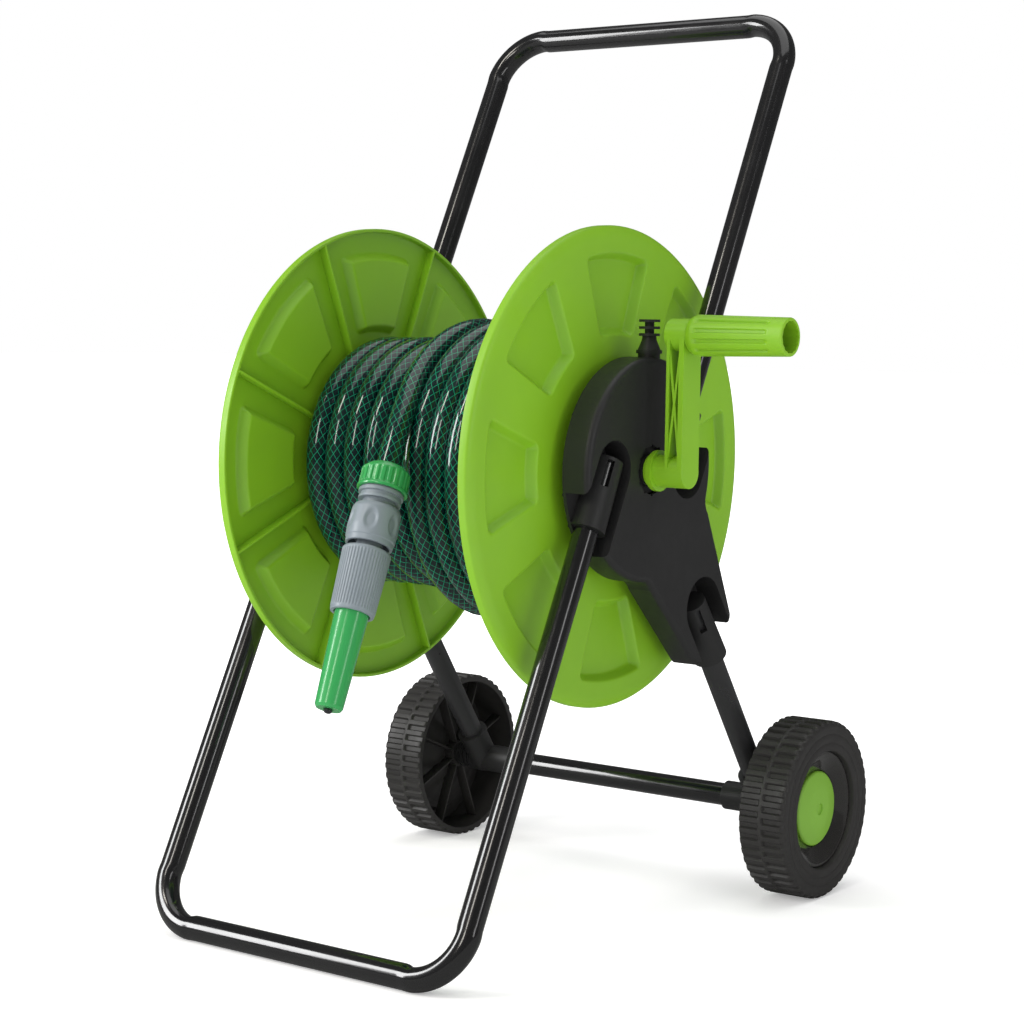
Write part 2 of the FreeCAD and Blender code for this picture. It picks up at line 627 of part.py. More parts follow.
def flange():
    """Right-hand flange about the drum's axis: plate, curled rim, eight pressed pads, eight ribs."""
    out, inner = FLANGE_OUT_R, FLANGE_OUT_R - FLANGE_T
    r_in = FLANGE_R - FLANGE_T
    outline = [V(inner, SPINDLE_R + 2, DRUM_Z), V(out, SPINDLE_R + 2, DRUM_Z),
               V(out, FLANGE_R - RIM_ROUND, DRUM_Z)]
    k = math.sqrt(0.5)

    def arc(r, a, b):
        centre = V(out - RIM_ROUND, FLANGE_R - RIM_ROUND, DRUM_Z)
        return Part.Arc(centre + V(r * a[0], r * a[1], 0), centre + V(r * k, r * k, 0),
                        centre + V(r * b[0], r * b[1], 0)).toShape()

    def line(p, q):
        return Part.LineSegment(p, q).toShape()

    lip_out = V(out - LIP_DEPTH, FLANGE_R, DRUM_Z)
    lip_in = V(out - LIP_DEPTH, r_in, DRUM_Z)
    small = RIM_ROUND - FLANGE_T
    edges = [line(outline[0], outline[1]), line(outline[1], outline[2]),
             arc(RIM_ROUND, (1, 0), (0, 1)), line(V(out - RIM_ROUND, FLANGE_R, DRUM_Z), lip_out),
             line(lip_out, lip_in), line(lip_in, V(out - RIM_ROUND, r_in, DRUM_Z)),
             arc(small, (0, 1), (1, 0)), line(V(inner, FLANGE_R - RIM_ROUND, DRUM_Z), outline[0])]
    plate = Part.Face(Part.Wire(edges)).revolve(V(0, 0, DRUM_Z), X_DIR, 360)
    raised, pressed, ribs = [], [], []
    for i in range(8):
        up = pad(inner + 0.5, inner - PAD_DEPTH, -0.4)
        down = pad(out + 0.001, out - PAD_DEPTH, FLANGE_T / 2)
        rib = Part.makeBox(RIB_H + 1, r_in - CORE_R - 4, RIB_T, V(inner - RIB_H, CORE_R + 3, -RIB_T / 2))
        rib.rotate(V(0, 0, 0), X_DIR, 22.5)
        rib.translate(V(0, 0, DRUM_Z))
        for shape, group in ((up, raised), (down, pressed), (rib, ribs)):
            shape.rotate(V(0, 0, DRUM_Z), X_DIR, 45 * i)
            group.append(shape)
    spigot = ring(inner - 8, inner + 0.5, CORE_R - CORE_T, CORE_R - CORE_T - 2.5)
    body = fuse(plate, spigot, *raised, *ribs)
    for hollow in pressed:
        body = body.cut(hollow)
    return screw_holes(body, inner - 1, out + 1)


def to_left(shape):
    """Mirror a right-hand drum part through the drum's own middle."""
    return shape.mirror(V(REEL_X, 0, 0), X_DIR)


WINDOW_X = -90.5          # where the hose passes through the core, at its left end
WINDOW_R = 9.4
TAIL_BEND = 35.0          # radius at which the hose's inner end swings out to its first turn
TAIL_KNEE = V(WINDOW_X, 20.2, DRUM_Z - 14.2)
TAIL_END = V(WINDOW_X, 30.3, DRUM_Z + 3.25)
TAIL_R = 6.5
TAIL_BORE_R = 3.6
BARB_LEN = 3.2


def drum_core():
    half = FLANGE_GAP / 2 - FLANGE_T
    core = ring(REEL_X - half, REEL_X + half, CORE_R, CORE_R - CORE_T)
    first_turn = CORE_R + HOSE_D / 2
    swing = Part.makeTorus(TAIL_BEND, WINDOW_R, V(WINDOW_X, 0, DRUM_Z + first_turn - TAIL_BEND), X_DIR)
    behind = Part.makeBox(4 * WINDOW_R, CORE_R + 5, CORE_R + 5, V(WINDOW_X - 2 * WINDOW_R, 5, DRUM_Z))
    return core.cut(swing.common(behind))


def hose_tail():
    """Barbed elbow: takes water from the spindle's waterway out to the hose's inner end."""
    start = V(FLANGE_OUT_R - FLANGE_T - HUB_PLATE_T - 14, 0, DRUM_Z)
    corner = V(WINDOW_X, 0, DRUM_Z)
    elbow = bent_tube([start, corner, TAIL_KNEE, TAIL_END], 9.0, TAIL_R, TAIL_BORE_R)
    out = (TAIL_END - TAIL_KNEE).normalize()
    bore = rod(TAIL_END - out * 12, out, 20, TAIL_BORE_R)
    barbs = [Part.makeCone(TAIL_R + 1.1, TAIL_R - 0.2, BARB_LEN, TAIL_END - out * (BARB_LEN * (i + 1)), out)
             for i in range(3)]
    return fuse(elbow, *[barb.cut(bore) for barb in barbs])


# ---- crank and grip ---------------------------------------------------------------------------------
CRANK_RING = (154.4, 158.2)           # raised ring round the drive boss
CRANK_RING_R = 14.75
CRANK_BOSS_R = 11.7
INNER_SLAB = (168.5, 171.0)
OUTER_SLAB = (178.7, 182.7)
SLAB_HALF = 11.5
CRANK_TOP_START = 166.0
CRANK_TOP_END = 183.4
PIN_R = 7.0
PIN_END = 225.0
BRACE_T = 1.8


def crank_arm():
    """Two slabs joined by a crossed web, with a drive boss below and the grip's pin above."""
    boss = fuse(disc(CRANK_IN, OUTER_SLAB[1], CRANK_BOSS_R), disc(*CRANK_RING, CRANK_RING_R))
    top = disc(CRANK_TOP_START, CRANK_TOP_END, CRANK_BOSS_R, 0, GRIP_Z)
    slabs = []
    for x0, x1 in (INNER_SLAB, OUTER_SLAB):
        slabs.append(Part.makeBox(x1 - x0, 2 * SLAB_HALF, CRANK_LEN, V(x0, -SLAB_HALF, DRUM_Z)))
    slabs.append(disc(OUTER_SLAB[0], OUTER_SLAB[1], SLAB_HALF))
    z0, z1 = DRUM_Z + CRANK_BOSS_R - 1, GRIP_Z - CRANK_BOSS_R + 1
    xa, xb = INNER_SLAB[1] - 0.5, OUTER_SLAB[0] + 0.5
    braces = []
    for start, end in (((xa, z0), (xb, z1)), ((xb, z0), (xa, z1))):
        half, edge = BRACE_T / 2, -SLAB_HALF + 1
        corners = [V(start[0] - half, edge, start[1]), V(start[0] + half, edge, start[1]),
                   V(end[0] + half, edge, end[1]), V(end[0] - half, edge, end[1])]
        face = Part.Face(Part.makePolygon(corners + corners[:1]))
        braces.append(face.extrude(Y_DIR * (2 * SLAB_HALF - 2)))
    pin = disc(CRANK_TOP_END - 1, PIN_END, PIN_R, 0, GRIP_Z)
    body = fuse(boss, top, pin, *slabs, *braces)
    seat = disc(CRANK_IN - 1, CRANK_SEAT_END, CRANK_SEAT_R)
    flat = Part.makeBox(40, 40, 10, V(CRANK_IN, -20, DRUM_Z + CRANK_SEAT_R - 1.6))
    body = body.cut(seat.cut(flat))
    return body.cut(disc(PIN_END - 18, PIN_END + 1, 1.9, 0, GRIP_Z))


GRIP_IN = CRANK_TOP_END + 0.4
GRIP_SHOULDER_R = 14.7
GRIP_TIP_R = 13.5
GRIP_WALL = 2.4
GRIP_SCALLOPS = 14


def crank_grip():
    """Hollow tapered grip that spins on the crank's pin; its open end is scalloped inside."""
    profile = [(GRIP_IN, PIN_R + RUN_GAP), (GRIP_IN, 12.2), (GRIP_IN + 4, GRIP_SHOULDER_R),
               (GRIP_END, GRIP_TIP_R), (GRIP_END, GRIP_TIP_R - GRIP_WALL),
               (PIN_END - 0.4, GRIP_TIP_R - GRIP_WALL),
               (PIN_END - 0.4, PIN_R + RUN_GAP)]
    body = turned_x(profile, 0, GRIP_Z)
    for i in range(GRIP_SCALLOPS):
        a = math.radians(360 / GRIP_SCALLOPS * i)
        scallop = disc(PIN_END + 4, GRIP_END + 1, 1.6, (GRIP_TIP_R - GRIP_WALL) * math.cos(a),
                       GRIP_Z + (GRIP_TIP_R - GRIP_WALL) * math.sin(a))
        body = body.cut(scallop)
    return body


def grip_screw():
    washer_t = 1.2
    screw = pan_screw(V(PIN_END + washer_t, 0, GRIP_Z), X_DIR.negative(), 4.2, 3.0, 1.9, 16.0)
    return screw


def grip_washer():
    return ring(PIN_END, PIN_END + 1.2, 9.4, 1.9, 0, GRIP_Z)


# ---- hose -----------------------------------------------------------------------------------------
HOSE_R = HOSE_D / 2
LAYER_R = [CORE_R + HOSE_R + LAYER_STEP * i for i in range(4)]
COIL_X1 = COIL_X0 + HOSE_D + HOSE_PITCH * (COIL_TURNS_WIDE - 1)
TOP_LAYER_X0 = -14.0
TOP_LAYER_X1 = 100.0


def hose_coil():
    """Outer shape of the wound hose: three full layers and part of a fourth."""
    three = ring(COIL_X0, COIL_X1, LAYER_R[2] + HOSE_R, CORE_R)
    fourth = ring(TOP_LAYER_X0, TOP_LAYER_X1, LAYER_R[3] + HOSE_R, CORE_R)
    return three.fuse(fourth).removeSplitter()


# the hose leaves the coil, lifts clear of it and hangs into the connector
FREE_ROUTE = [V(-6.0, -65.5, DRUM_Z + 76.0), V(9.2, -110.0, DRUM_Z + 41.4), V(12.9, -130.0, DRUM_Z + 0.7)]


def routed_tube(points, r):
    """Solid tube along straight runs joined by the largest tangent arcs that the runs allow."""
    edges, start, straight = [], points[0], 0.0
    for before, corner, after in zip(points, points[1:], points[2:]):
        u = before - corner
        w = after - corner
        shorter = min(u.Length, w.Length)
        u.normalize()
        w.normalize()
        half_turn = (math.pi - u.getAngle(w)) / 2
        bend = 0.45 * shorter / math.tan(half_turn)
        back = bend * math.tan(half_turn)
        centre = corner + (u + w).normalize() * (bend / math.cos(half_turn))
        middle = centre + (corner - centre).normalize() * bend
        edges.append(Part.LineSegment(start, corner + u * back).toShape())
        edges.append(Part.Arc(corner + u * back, middle, corner + w * back).toShape())
        start = corner + w * back
        print("hose bend radius %.1f mm" % bend)
    edges.append(Part.LineSegment(start, points[-1]).toShape())
    path = Part.Wire(edges)
    way = (points[1] - points[0]).normalize()
    tube = path.makePipeShell([Part.Wire(Part.makeCircle(r, points[0], way))], True, False)
    print("free hose %.1f mm, volume over section times length %.4f"
          % (path.Length, tube.Volume / (math.pi * r * r * path.Length)))
    return tube


# ---- connector and nozzle -----------------------------------------------------------------------------
NOZZLE_AT = FREE_ROUTE[-1]
NOZZLE_DIR = (FREE_ROUTE[-1] - FREE_ROUTE[-2]).normalize()
NUT_LEN = 19.0
NUT_R = 18.0
BODY_END = 60.4
NOZZLE_IN = 64.0
NOZZLE_OUT = 111.0
BARREL_OUT = 180.0
BARREL_R = 12.1
BARREL_TIP_R = 10.0
TIP_R = 3.2
SEAL_S = 78.0             # the barrel's O-ring


def along(profile):
    return turned(profile, NOZZLE_AT, NOZZLE_DIR)


def on_nozzle(place):
    return NOZZLE_AT + NOZZLE_DIR * place


def around_nozzle(shape, count, first=0.0):
    """Copies of a shape round the nozzle's axis."""
    copies = []
    for i in range(count):
        copy = shape.copy()
        copy.rotate(NOZZLE_AT, NOZZLE_DIR, first + 360.0 / count * i)
        copies.append(copy)
    return copies


NOZZLE_SIDE = NOZZLE_DIR.cross(X_DIR).normalize()


def connector_nut():
    body = along([(0, HOSE_R), (0, 13.6), (2.5, 15.6), (5, NUT_R), (NUT_LEN, NUT_R), (NUT_LEN, NUT_R - 2.4),
                  (7, NUT_R - 2.4), (7, HOSE_R)])
    flute = rod(on_nozzle(4.2) + NOZZLE_SIDE * (NUT_R + 0.8), NOZZLE_DIR, NUT_LEN, 1.5)
    for copy in around_nozzle(flute, 24):
        body = body.cut(copy)
    return body


def connector_body():
    """Fixed body: threaded tail inside the nut, grooved ring, and the socket inside the sleeve."""
    return along([(9, 6.0), (9, 15.2), (NUT_LEN + 1, 15.2), (NUT_LEN + 1, 16.2), (NUT_LEN + 3.4, 16.2),
                  (NUT_LEN + 3.4, 14.4), (NUT_LEN + 6.4, 14.4), (NUT_LEN + 6.4, 15.4),
                  (NUT_LEN + 8.4, 15.4),
                  (NUT_LEN + 8.4, 12.0), (54, 12.0), (54, 9.0), (34, 9.0), (34, 6.0)])


def connector_gripper():
    """Split collet that bites the hose under the nut."""
    collet = along([(9, HOSE_R + 0.2), (7.2, HOSE_R + 0.2), (7.2, 14.6), (9, 15.2)])
    return collet


SLEEVE_IN_S = NUT_LEN + 12.5


def connector_sleeve():
    """Outer release sleeve with finger dimples; it slides back towards the nut."""
    body = along([(SLEEVE_IN_S, 12.3), (SLEEVE_IN_S, 16.0), (SLEEVE_IN_S + 3, 17.6),
                  (SLEEVE_IN_S + 17, 18.2),
                  (BODY_END - 1.5, 17.4), (BODY_END, 16.6), (BODY_END, 14.8), (55, 14.8), (55, 12.3)])
    dimple = Part.makeSphere(9.0, on_nozzle(SLEEVE_IN_S + 14) + NOZZLE_SIDE * (18.0 + 7.4))
    for copy in around_nozzle(dimple, 4, 30):
        body = body.cut(copy)
    return body


def connector_seal():
    return Part.makeTorus(7.8, 1.15, on_nozzle(45), NOZZLE_DIR)


def nozzle_body():
    """Ribbed body with the male coupling inside the connector and a needle for the barrel's tip."""
    male = [(36, 4.0), (36, 6.6), (43.7, 6.6), (43.7, 6.5), (46.3, 6.5), (46.3, 6.6), (50, 6.6),
            (50, 8.0), (55, 8.8),
            (58, 8.8), (58, 9.5), (NOZZLE_IN, 9.5)]
    shell = [(NOZZLE_IN, 16.6), (NOZZLE_IN + 1.2, 17.4), (NOZZLE_OUT - 1.5, 16.0), (NOZZLE_OUT, 15.2),
             (NOZZLE_OUT, 13.0),
             (NOZZLE_IN + 6, 13.0), (NOZZLE_IN + 6, 9.0), (NOZZLE_OUT - 8, 9.0), (NOZZLE_OUT - 8, 4.0)]
    body = along(male + shell)
    groove = rod(on_nozzle(NOZZLE_IN + 3) + NOZZLE_SIDE * 17.9, NOZZLE_DIR, NOZZLE_OUT - NOZZLE_IN - 6, 0.9)
    for copy in around_nozzle(groove, 36):
        body = body.cut(copy)
    return body


def nozzle_needle():
    """Needle carried by three vanes in the body's throat; its rounded end closes the barrel."""
    s = NOZZLE_OUT - 20
    stem = along([(s, 0), (s, 2.2), (BARREL_OUT - 1.6, 2.2), (BARREL_OUT - 0.4, TIP_R),
                  (BARREL_OUT + 1.6, TIP_R),
                  (BARREL_OUT + 2.8, 1.9), (BARREL_OUT + 3.2, 0)])
    vane = Part.makeBox(10, 3.9, 1.2, V(0, 0, -0.6))
    turn = FreeCAD.Rotation(NOZZLE_DIR, NOZZLE_SIDE, V(0, 0, 0), "XYZ")
    vane.Placement = FreeCAD.Placement(on_nozzle(s), turn)
    return fuse(stem, *around_nozzle(vane, 3))


def nozzle_barrel():
    """Twist barrel: turning it on the body's thread slides it and opens the jet."""
    s = NOZZLE_IN + 9
    body = along([(s, 9.2), (s, 12.2), (SEAL_S - 1, 12.2), (SEAL_S - 1, 11.2), (SEAL_S + 1, 11.2),
                  (SEAL_S + 1, 12.2),
                  (NOZZLE_OUT - 5, 12.2), (NOZZLE_OUT + 2, BARREL_R), (BARREL_OUT - 2, BARREL_TIP_R),
                  (BARREL_OUT, BARREL_TIP_R - 1.2), (BARREL_OUT, TIP_R + 0.4),
                  (BARREL_OUT - 5, TIP_R + 0.4),
                  (BARREL_OUT - 9, 7.4), (NOZZLE_OUT - 3, 9.2)])
    return body


def nozzle_seal():
    """O-ring in the barrel's groove."""
    return Part.makeTorus(12.08, 0.85, on_nozzle(SEAL_S), NOZZLE_DIR)


# ---- write the nodes ----------------------------------------------------------------------------------
def main():
    save("handle_tube", hoop_tube(HOOP_OFFSET, SOCKET_START, HANDLE_REACH))
    save("foot_tube", hoop_tube(-HOOP_OFFSET, -SOCKET_START, -FOOT_REACH))
    save("axle_tube", ring(-AXLE_TUBE_END, AXLE_TUBE_END, TUBE_R, TUBE_R - TUBE_WALL, AXLE_Y, AXLE_Z))
    rod_end = HUB_OUT + 2.6
    save("axle_rod", disc(-rod_end, rod_end, AXLE_ROD_R, AXLE_Y, AXLE_Z))
    save("axle_washers", axle_washer(), mirrored(axle_washer()))
    save("axle_clips", axle_clip(), mirrored(axle_clip()))

    pairs = {"rear_leg": rear_leg(), "axle_tee": axle_tee(), "side_frame": side_frame(),
             "hub_bush": hub_bush(), "wheel": wheel(), "wheel_disc": wheel_disc(), "hub_cap": hub_cap()}
    for name, shape in pairs.items():
        save("right_" + name, shape)
        save("left_" + name, mirrored(shape))
    save("right_side_cover", side_cover(True))
    save("left_side_cover", mirrored(side_cover(False)))
    save("left_bearing_plug", mirrored(bearing_plug()))
    for name, screws in (("cover_screws", cover_screws()), ("tube_screws", tube_screws())):
        save("right_" + name, *screws)
        save("left_" + name, *[mirrored(s) for s in screws])

    save("water_inlet", water_inlet())
    save("right_hub_spindle", right_spindle())
    save("left_hub_spindle", left_spindle())
    save("spindle_seals", *spindle_seals())

    save("right_flange", flange())
    save("left_flange", to_left(flange()))
    save("drum_core", drum_core())
    save("right_hub_screws", *hub_screws(FLANGE_OUT_R, X_DIR.negative()))
    save("left_hub_screws", *hub_screws(FLANGE_OUT_L, X_DIR))
    save("hose_tail", hose_tail())

    save("crank_arm", crank_arm())
    save("crank_grip", crank_grip())
    save("grip_screw", grip_screw())
    save("grip_washer", grip_washer())

    save("hose_coil", hose_coil())
    save("hose_free_end", routed_tube(FREE_ROUTE, HOSE_R))
    save("connector_nut", connector_nut())
    save("connector_body", connector_body())
    save("connector_gripper", connector_gripper())
    save("connector_sleeve", connector_sleeve())
    save("connector_seal", connector_seal())
    save("nozzle_body", nozzle_body())
    save("nozzle_needle", nozzle_needle())
    save("nozzle_barrel", nozzle_barrel())
    save("nozzle_seal", nozzle_seal())


main()
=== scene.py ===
"""The looks of the garden hose reel cart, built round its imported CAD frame.

Everything is in metres in the frame's own coordinates. CART moves cart coordinates (X = 0 midway
between the brackets, Y = 0 on the drum's axis, Z = 0 on the ground) into them.
"""
import json
import math

import bmesh
import bpy
import numpy as np
from mathutils import Matrix, Vector


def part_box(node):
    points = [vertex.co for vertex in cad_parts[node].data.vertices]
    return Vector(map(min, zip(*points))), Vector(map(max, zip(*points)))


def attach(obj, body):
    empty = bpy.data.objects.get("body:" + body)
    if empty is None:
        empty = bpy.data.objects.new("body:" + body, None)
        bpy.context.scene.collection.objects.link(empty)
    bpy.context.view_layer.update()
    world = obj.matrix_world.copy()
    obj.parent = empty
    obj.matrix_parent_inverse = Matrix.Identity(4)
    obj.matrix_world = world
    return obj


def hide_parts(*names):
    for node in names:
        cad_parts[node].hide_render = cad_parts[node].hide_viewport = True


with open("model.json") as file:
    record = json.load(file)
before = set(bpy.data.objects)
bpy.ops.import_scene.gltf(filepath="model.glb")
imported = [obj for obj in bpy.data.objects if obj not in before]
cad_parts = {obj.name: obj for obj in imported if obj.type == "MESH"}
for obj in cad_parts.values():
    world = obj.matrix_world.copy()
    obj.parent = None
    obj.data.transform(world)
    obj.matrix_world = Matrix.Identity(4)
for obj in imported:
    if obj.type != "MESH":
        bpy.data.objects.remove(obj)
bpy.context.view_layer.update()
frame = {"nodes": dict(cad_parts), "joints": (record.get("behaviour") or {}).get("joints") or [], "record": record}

MM = 0.001
SAME_POINT = 1e-6              # m; points of a lathed piece this close are one


# ---- places, from the frame -----------------------------------------------------------------------
def middle(node):
    low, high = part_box(node)
    return (low + high) / 2


DRUM = middle("drum_core")                       # middle of the drum, on its axis
AXLE = middle("right_wheel")
FRAME_X = middle("axle_tube").x                  # X = 0 of the cart
CART = Vector((FRAME_X, DRUM.y, 0))
WHEEL_R = (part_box("right_wheel")[1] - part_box("right_wheel")[0]).z / 2
JOINTS = {j["name"]: j for j in frame["joints"]}
NOZZLE_AT = Vector(JOINTS["nozzle_twist"]["pos_m"])
NOZZLE_DIR = Vector(JOINTS["nozzle_twist"]["axis"])


def cart(x, y, z):
    """A point given in cart millimetres."""
    return CART + Vector((x, y, z)) * MM


def named(side, part):
    """The name of a part that the cart has twice: side is 1 by the crank and -1 on the other side."""
    return ("right_" if side > 0 else "left_") + part


# ---- camera -----------------------------------------------------------------------------------------
CAMERA_AT = cart(1032.7, -1372.2, 445.8)
YAW, PITCH, ROLL = math.radians(36.24), math.radians(4.73), math.radians(0.87)
LENS, SENSOR = 79.94, 36.0


def add_camera():
    forward = Vector((-math.sin(YAW) * math.cos(PITCH), math.cos(YAW) * math.cos(PITCH), -math.sin(PITCH)))
    right = Vector((math.cos(YAW), math.sin(YAW), 0))
    up = right.cross(forward)
    side = right * math.cos(ROLL) + up * math.sin(ROLL)
    top = up * math.cos(ROLL) - right * math.sin(ROLL)
    data = bpy.data.cameras.new("camera")
    data.lens, data.sensor_width = LENS, SENSOR
    data.clip_start, data.clip_end = 0.05, 60.0
    camera = bpy.data.objects.new("camera", data)
    bpy.context.scene.collection.objects.link(camera)
    camera.matrix_world = Matrix.Translation(CAMERA_AT) @ Matrix((side, top, -forward)).transposed().to_4x4()
    bpy.context.scene.camera = camera


# ---- mesh helpers -----------------------------------------------------------------------------------
def new_object(name, mesh, material, body, slot, *nodes):
    """A finished piece: it takes material, rides on body and stands for nodes. slot is not used."""
    piece = bpy.data.objects.new(name, mesh)
    bpy.context.scene.collection.objects.link(piece)
    mesh.materials.clear()
    mesh.materials.append(material)
    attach(piece, body)
    if nodes:
        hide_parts(*nodes)
    return piece


def smooth(mesh, degrees=35):
    mesh.shade_smooth()
    mesh.set_sharp_from_angle(angle=math.radians(degrees))
    return mesh


def grid_mesh(name, rings, closed_path=False, caps=False):
    """Quads between closed rings of points. closed_path joins the last ring to the first."""
    points = np.asarray(rings, float)
    count, around = points.shape[:2]
    faces = []
    for i in range(count if closed_path else count - 1):
        a, b = i * around, (i + 1) % count * around
        for j in range(around):
            k = (j + 1) % around
            faces.append((a + j, a + k, b + k, b + j))
    if caps:
        faces.append(tuple(range(around))[::-1])
        faces.append(tuple(range((count - 1) * around, count * around)))
    mesh = bpy.data.meshes.new(name)
    mesh.from_pydata(points.reshape(-1, 3).tolist(), [], faces)
    mesh.update()
    return mesh


def outward(mesh):
    """Make a closed mesh's faces look outwards."""
    work = bmesh.new()
    work.from_mesh(mesh)
    bmesh.ops.recalc_face_normals(work, faces=work.faces)
    work.to_mesh(mesh)
    work.free()
    return mesh


def grid_sheet(name, rings):
    """A closed skin: every ring closes on itself and the last ring joins the first."""
    return smooth(outward(grid_mesh(name, rings, closed_path=True)), 40)


def add_box(mesh, low, high, round_r, turn, at):
    """Add a box with rounded edges to mesh, turned by a matrix and moved to at. Lengths are millimetres."""
    work = bmesh.new()
    bmesh.ops.create_cube(work, size=1.0)
    size = [b - a for a, b in zip(low, high)]
    for v in work.verts:
        v.co = Vector([a + (c + 0.5) * d for a, c, d in zip(low, v.co, size)])
    bmesh.ops.bevel(work, geom=work.edges[:], offset=round_r, segments=2, affect="EDGES", profile=0.5)
    for v in work.verts:
        v.co = (turn @ v.co + Vector(at)) * MM + CART
    work.from_mesh(mesh)
    work.to_mesh(mesh)
    work.free()


def softstep(t, softness=0.12):
    """0 below 0 and 1 above 1, a straight ramp with soft ends between."""
    t = np.asarray(t, float)
    low = np.logaddexp(0, t / softness) * softness
    high = np.logaddexp(0, (t - 1) / softness) * softness
    return low - high


def soft_profile(points, reach):
    """The same outline with its corners cut round."""
    out = [points[0]]
    for a, b, c in zip(points, points[1:], points[2:]):
        a, b, c = np.array(a, float), np.array(b, float), np.array(c, float)
        back, on = np.linalg.norm(a - b), np.linalg.norm(c - b)
        p = b + (a - b) * min(reach / back, 0.45)
        q = b + (c - b) * min(reach / on, 0.45)
        out += [tuple(p), tuple((p + 2 * b + q) / 4), tuple(q)]
    out.append(points[-1])
    return out


def filled(points, step):
    """Add points so that no gap along the outline is longer than step."""
    out = [points[0]]
    for a, b in zip(points, points[1:]):
        count = max(1, math.ceil(math.dist(a, b) / step))
        out += [tuple(np.array(a) + (np.array(b) - np.array(a)) * i / count) for i in range(1, count + 1)]
    return out


def lathe(name, profile, centre, axis, columns, relief=None):
    """Turn a closed outline of (along, radius) millimetres round axis through centre.

    relief(i, along, angles) gives how far the outline's point i is lowered at each angle.
    """
    axis = Vector(axis).normalized()
    side = axis.cross(Vector((0, 0, 1)) if abs(axis.z) < 0.5 else Vector((1, 0, 0))).normalized()
    up = axis.cross(side)
    angles = np.arange(columns) * 2 * math.pi / columns
    rings = []
    for i, (a, r) in enumerate(profile):
        radius = np.full(columns, float(r))
        if relief:
            radius = radius - relief(i, a, angles)
        flat = np.outer(np.cos(angles) * radius, side) + np.outer(np.sin(angles) * radius, up)
        rings.append(np.array(centre) + (np.array(axis) * a + flat) * MM)
    mesh = grid_mesh(name, rings, closed_path=True)
    work = bmesh.new()
    work.from_mesh(mesh)
    bmesh.ops.remove_doubles(work, verts=work.verts, dist=SAME_POINT)
    bmesh.ops.recalc_face_normals(work, faces=work.faces)
    work.to_mesh(mesh)
    work.free()
    return smooth(mesh, 38)


def grooves(angles, count, half_share, soft_share):
    """1 in the middle of each of count grooves round the axis and 0 on the lands between."""
    off = np.abs((angles / (2 * math.pi) * count) % 1.0 - 0.5)
    return softstep((half_share - off) / (half_share * soft_share) + 0.5, 0.2)


# ---- materials --------------------------------------------------------------------------------------
class Nodes:
    """A material's node tree with a Principled shader."""

    def __init__(self, name):
        self.material = bpy.data.materials.new(name)
        self.material.use_nodes = True
        self.tree = self.material.node_tree
        self.shader = self.tree.nodes["Principled BSDF"]

    def add(self, kind, **settings):
        node = self.tree.nodes.new(kind)
        for key, value in settings.items():
            setattr(node, key, value)
        return node

    def link(self, source, target):
        self.tree.links.new(source, target)

    def coordinates(self):
        return self.add("ShaderNodeTexCoord").outputs["Object"]

    def noise(self, scale, detail=4.0, vector=None):
        node = self.add("ShaderNodeTexNoise")
        node.inputs["Scale"].default_value = scale
        node.inputs["Detail"].default_value = detail
        self.link(vector or self.coordinates(), node.inputs["Vector"])
        return node.outputs["Fac"]

    def ramp(self, value, stops):
        node = self.add("ShaderNodeValToRGB")
        elements = node.color_ramp.elements
        while len(elements) < len(stops):
            elements.new(0.5)
        for element, (place, colour) in zip(elements, stops):
            element.position = place
            element.color = (*colour, 1)
        self.link(value, node.inputs["Fac"])
        return node.outputs["Color"]

    def spread(self, value, low, high, from_low=0.3, from_high=0.7):
        node = self.add("ShaderNodeMapRange")
        for key, number in (("From Min", from_low), ("From Max", from_high), ("To Min", low),
                            ("To Max", high)):
            node.inputs[key].default_value = number
        self.link(value, node.inputs["Value"])
        return node.outputs["Result"]

    def math(self, operation, *values):
        node = self.add("ShaderNodeMath", operation=operation)
        for socket, value in zip(node.inputs, values):
            if isinstance(value, (int, float)):
                socket.default_value = value
            else:
                self.link(value, socket)
        return node.outputs["Value"]

    def bump(self, height, strength, distance):
        node = self.add("ShaderNodeBump")
        node.inputs["Strength"].default_value = strength
        node.inputs["Distance"].default_value = distance
        self.link(height, node.inputs["Height"])
        self.link(node.outputs["Normal"], self.shader.inputs["Normal"])

    def set(self, **values):
        for key, value in values.items():
            self.shader.inputs[key.replace("_", " ")].default_value = value


def scaled(colour, share):
    return tuple(c * share for c in colour)


def plastic(name, colour, rough, grain_scale=900.0, grain=0.02, coat=0.0, shift=0.1, translucent=0.0):
    """Moulded plastic: slow colour drift from the flow, a fine grain and uneven sheen."""
    n = Nodes(name)
    drift = n.noise(9.0, 3.0)
    n.link(n.ramp(drift, [(0.3, scaled(colour, 1 - shift)), (0.7, scaled(colour, 1 + shift))]),
           n.shader.inputs["Base Color"])
    n.link(n.spread(n.noise(60.0, 5.0), rough * 0.85, rough * 1.15), n.shader.inputs["Roughness"])
    n.bump(n.noise(grain_scale, 3.0), 0.35, grain * MM)
    n.set(Coat_Weight=coat, Coat_Roughness=0.08)
    if translucent:
        n.set(Subsurface_Weight=translucent, Subsurface_Radius=(0.6, 1.0, 0.2), Subsurface_Scale=0.0015)
    return n.material


def paint(name, colour, rough, peel, coat):
    """Powder-coated steel: orange peel under a clear gloss."""
    n = Nodes(name)
    n.link(n.ramp(n.noise(14.0, 4.0), [(0.3, scaled(colour, 0.85)), (0.7, scaled(colour, 1.15))]),
           n.shader.inputs["Base Color"])
    n.link(n.spread(n.noise(45.0, 6.0), rough * 0.8, rough * 1.25), n.shader.inputs["Roughness"])
    n.bump(n.noise(260.0, 2.0), peel, 0.02 * MM)
    n.set(Coat_Weight=coat, Coat_Roughness=0.06)
    return n.material


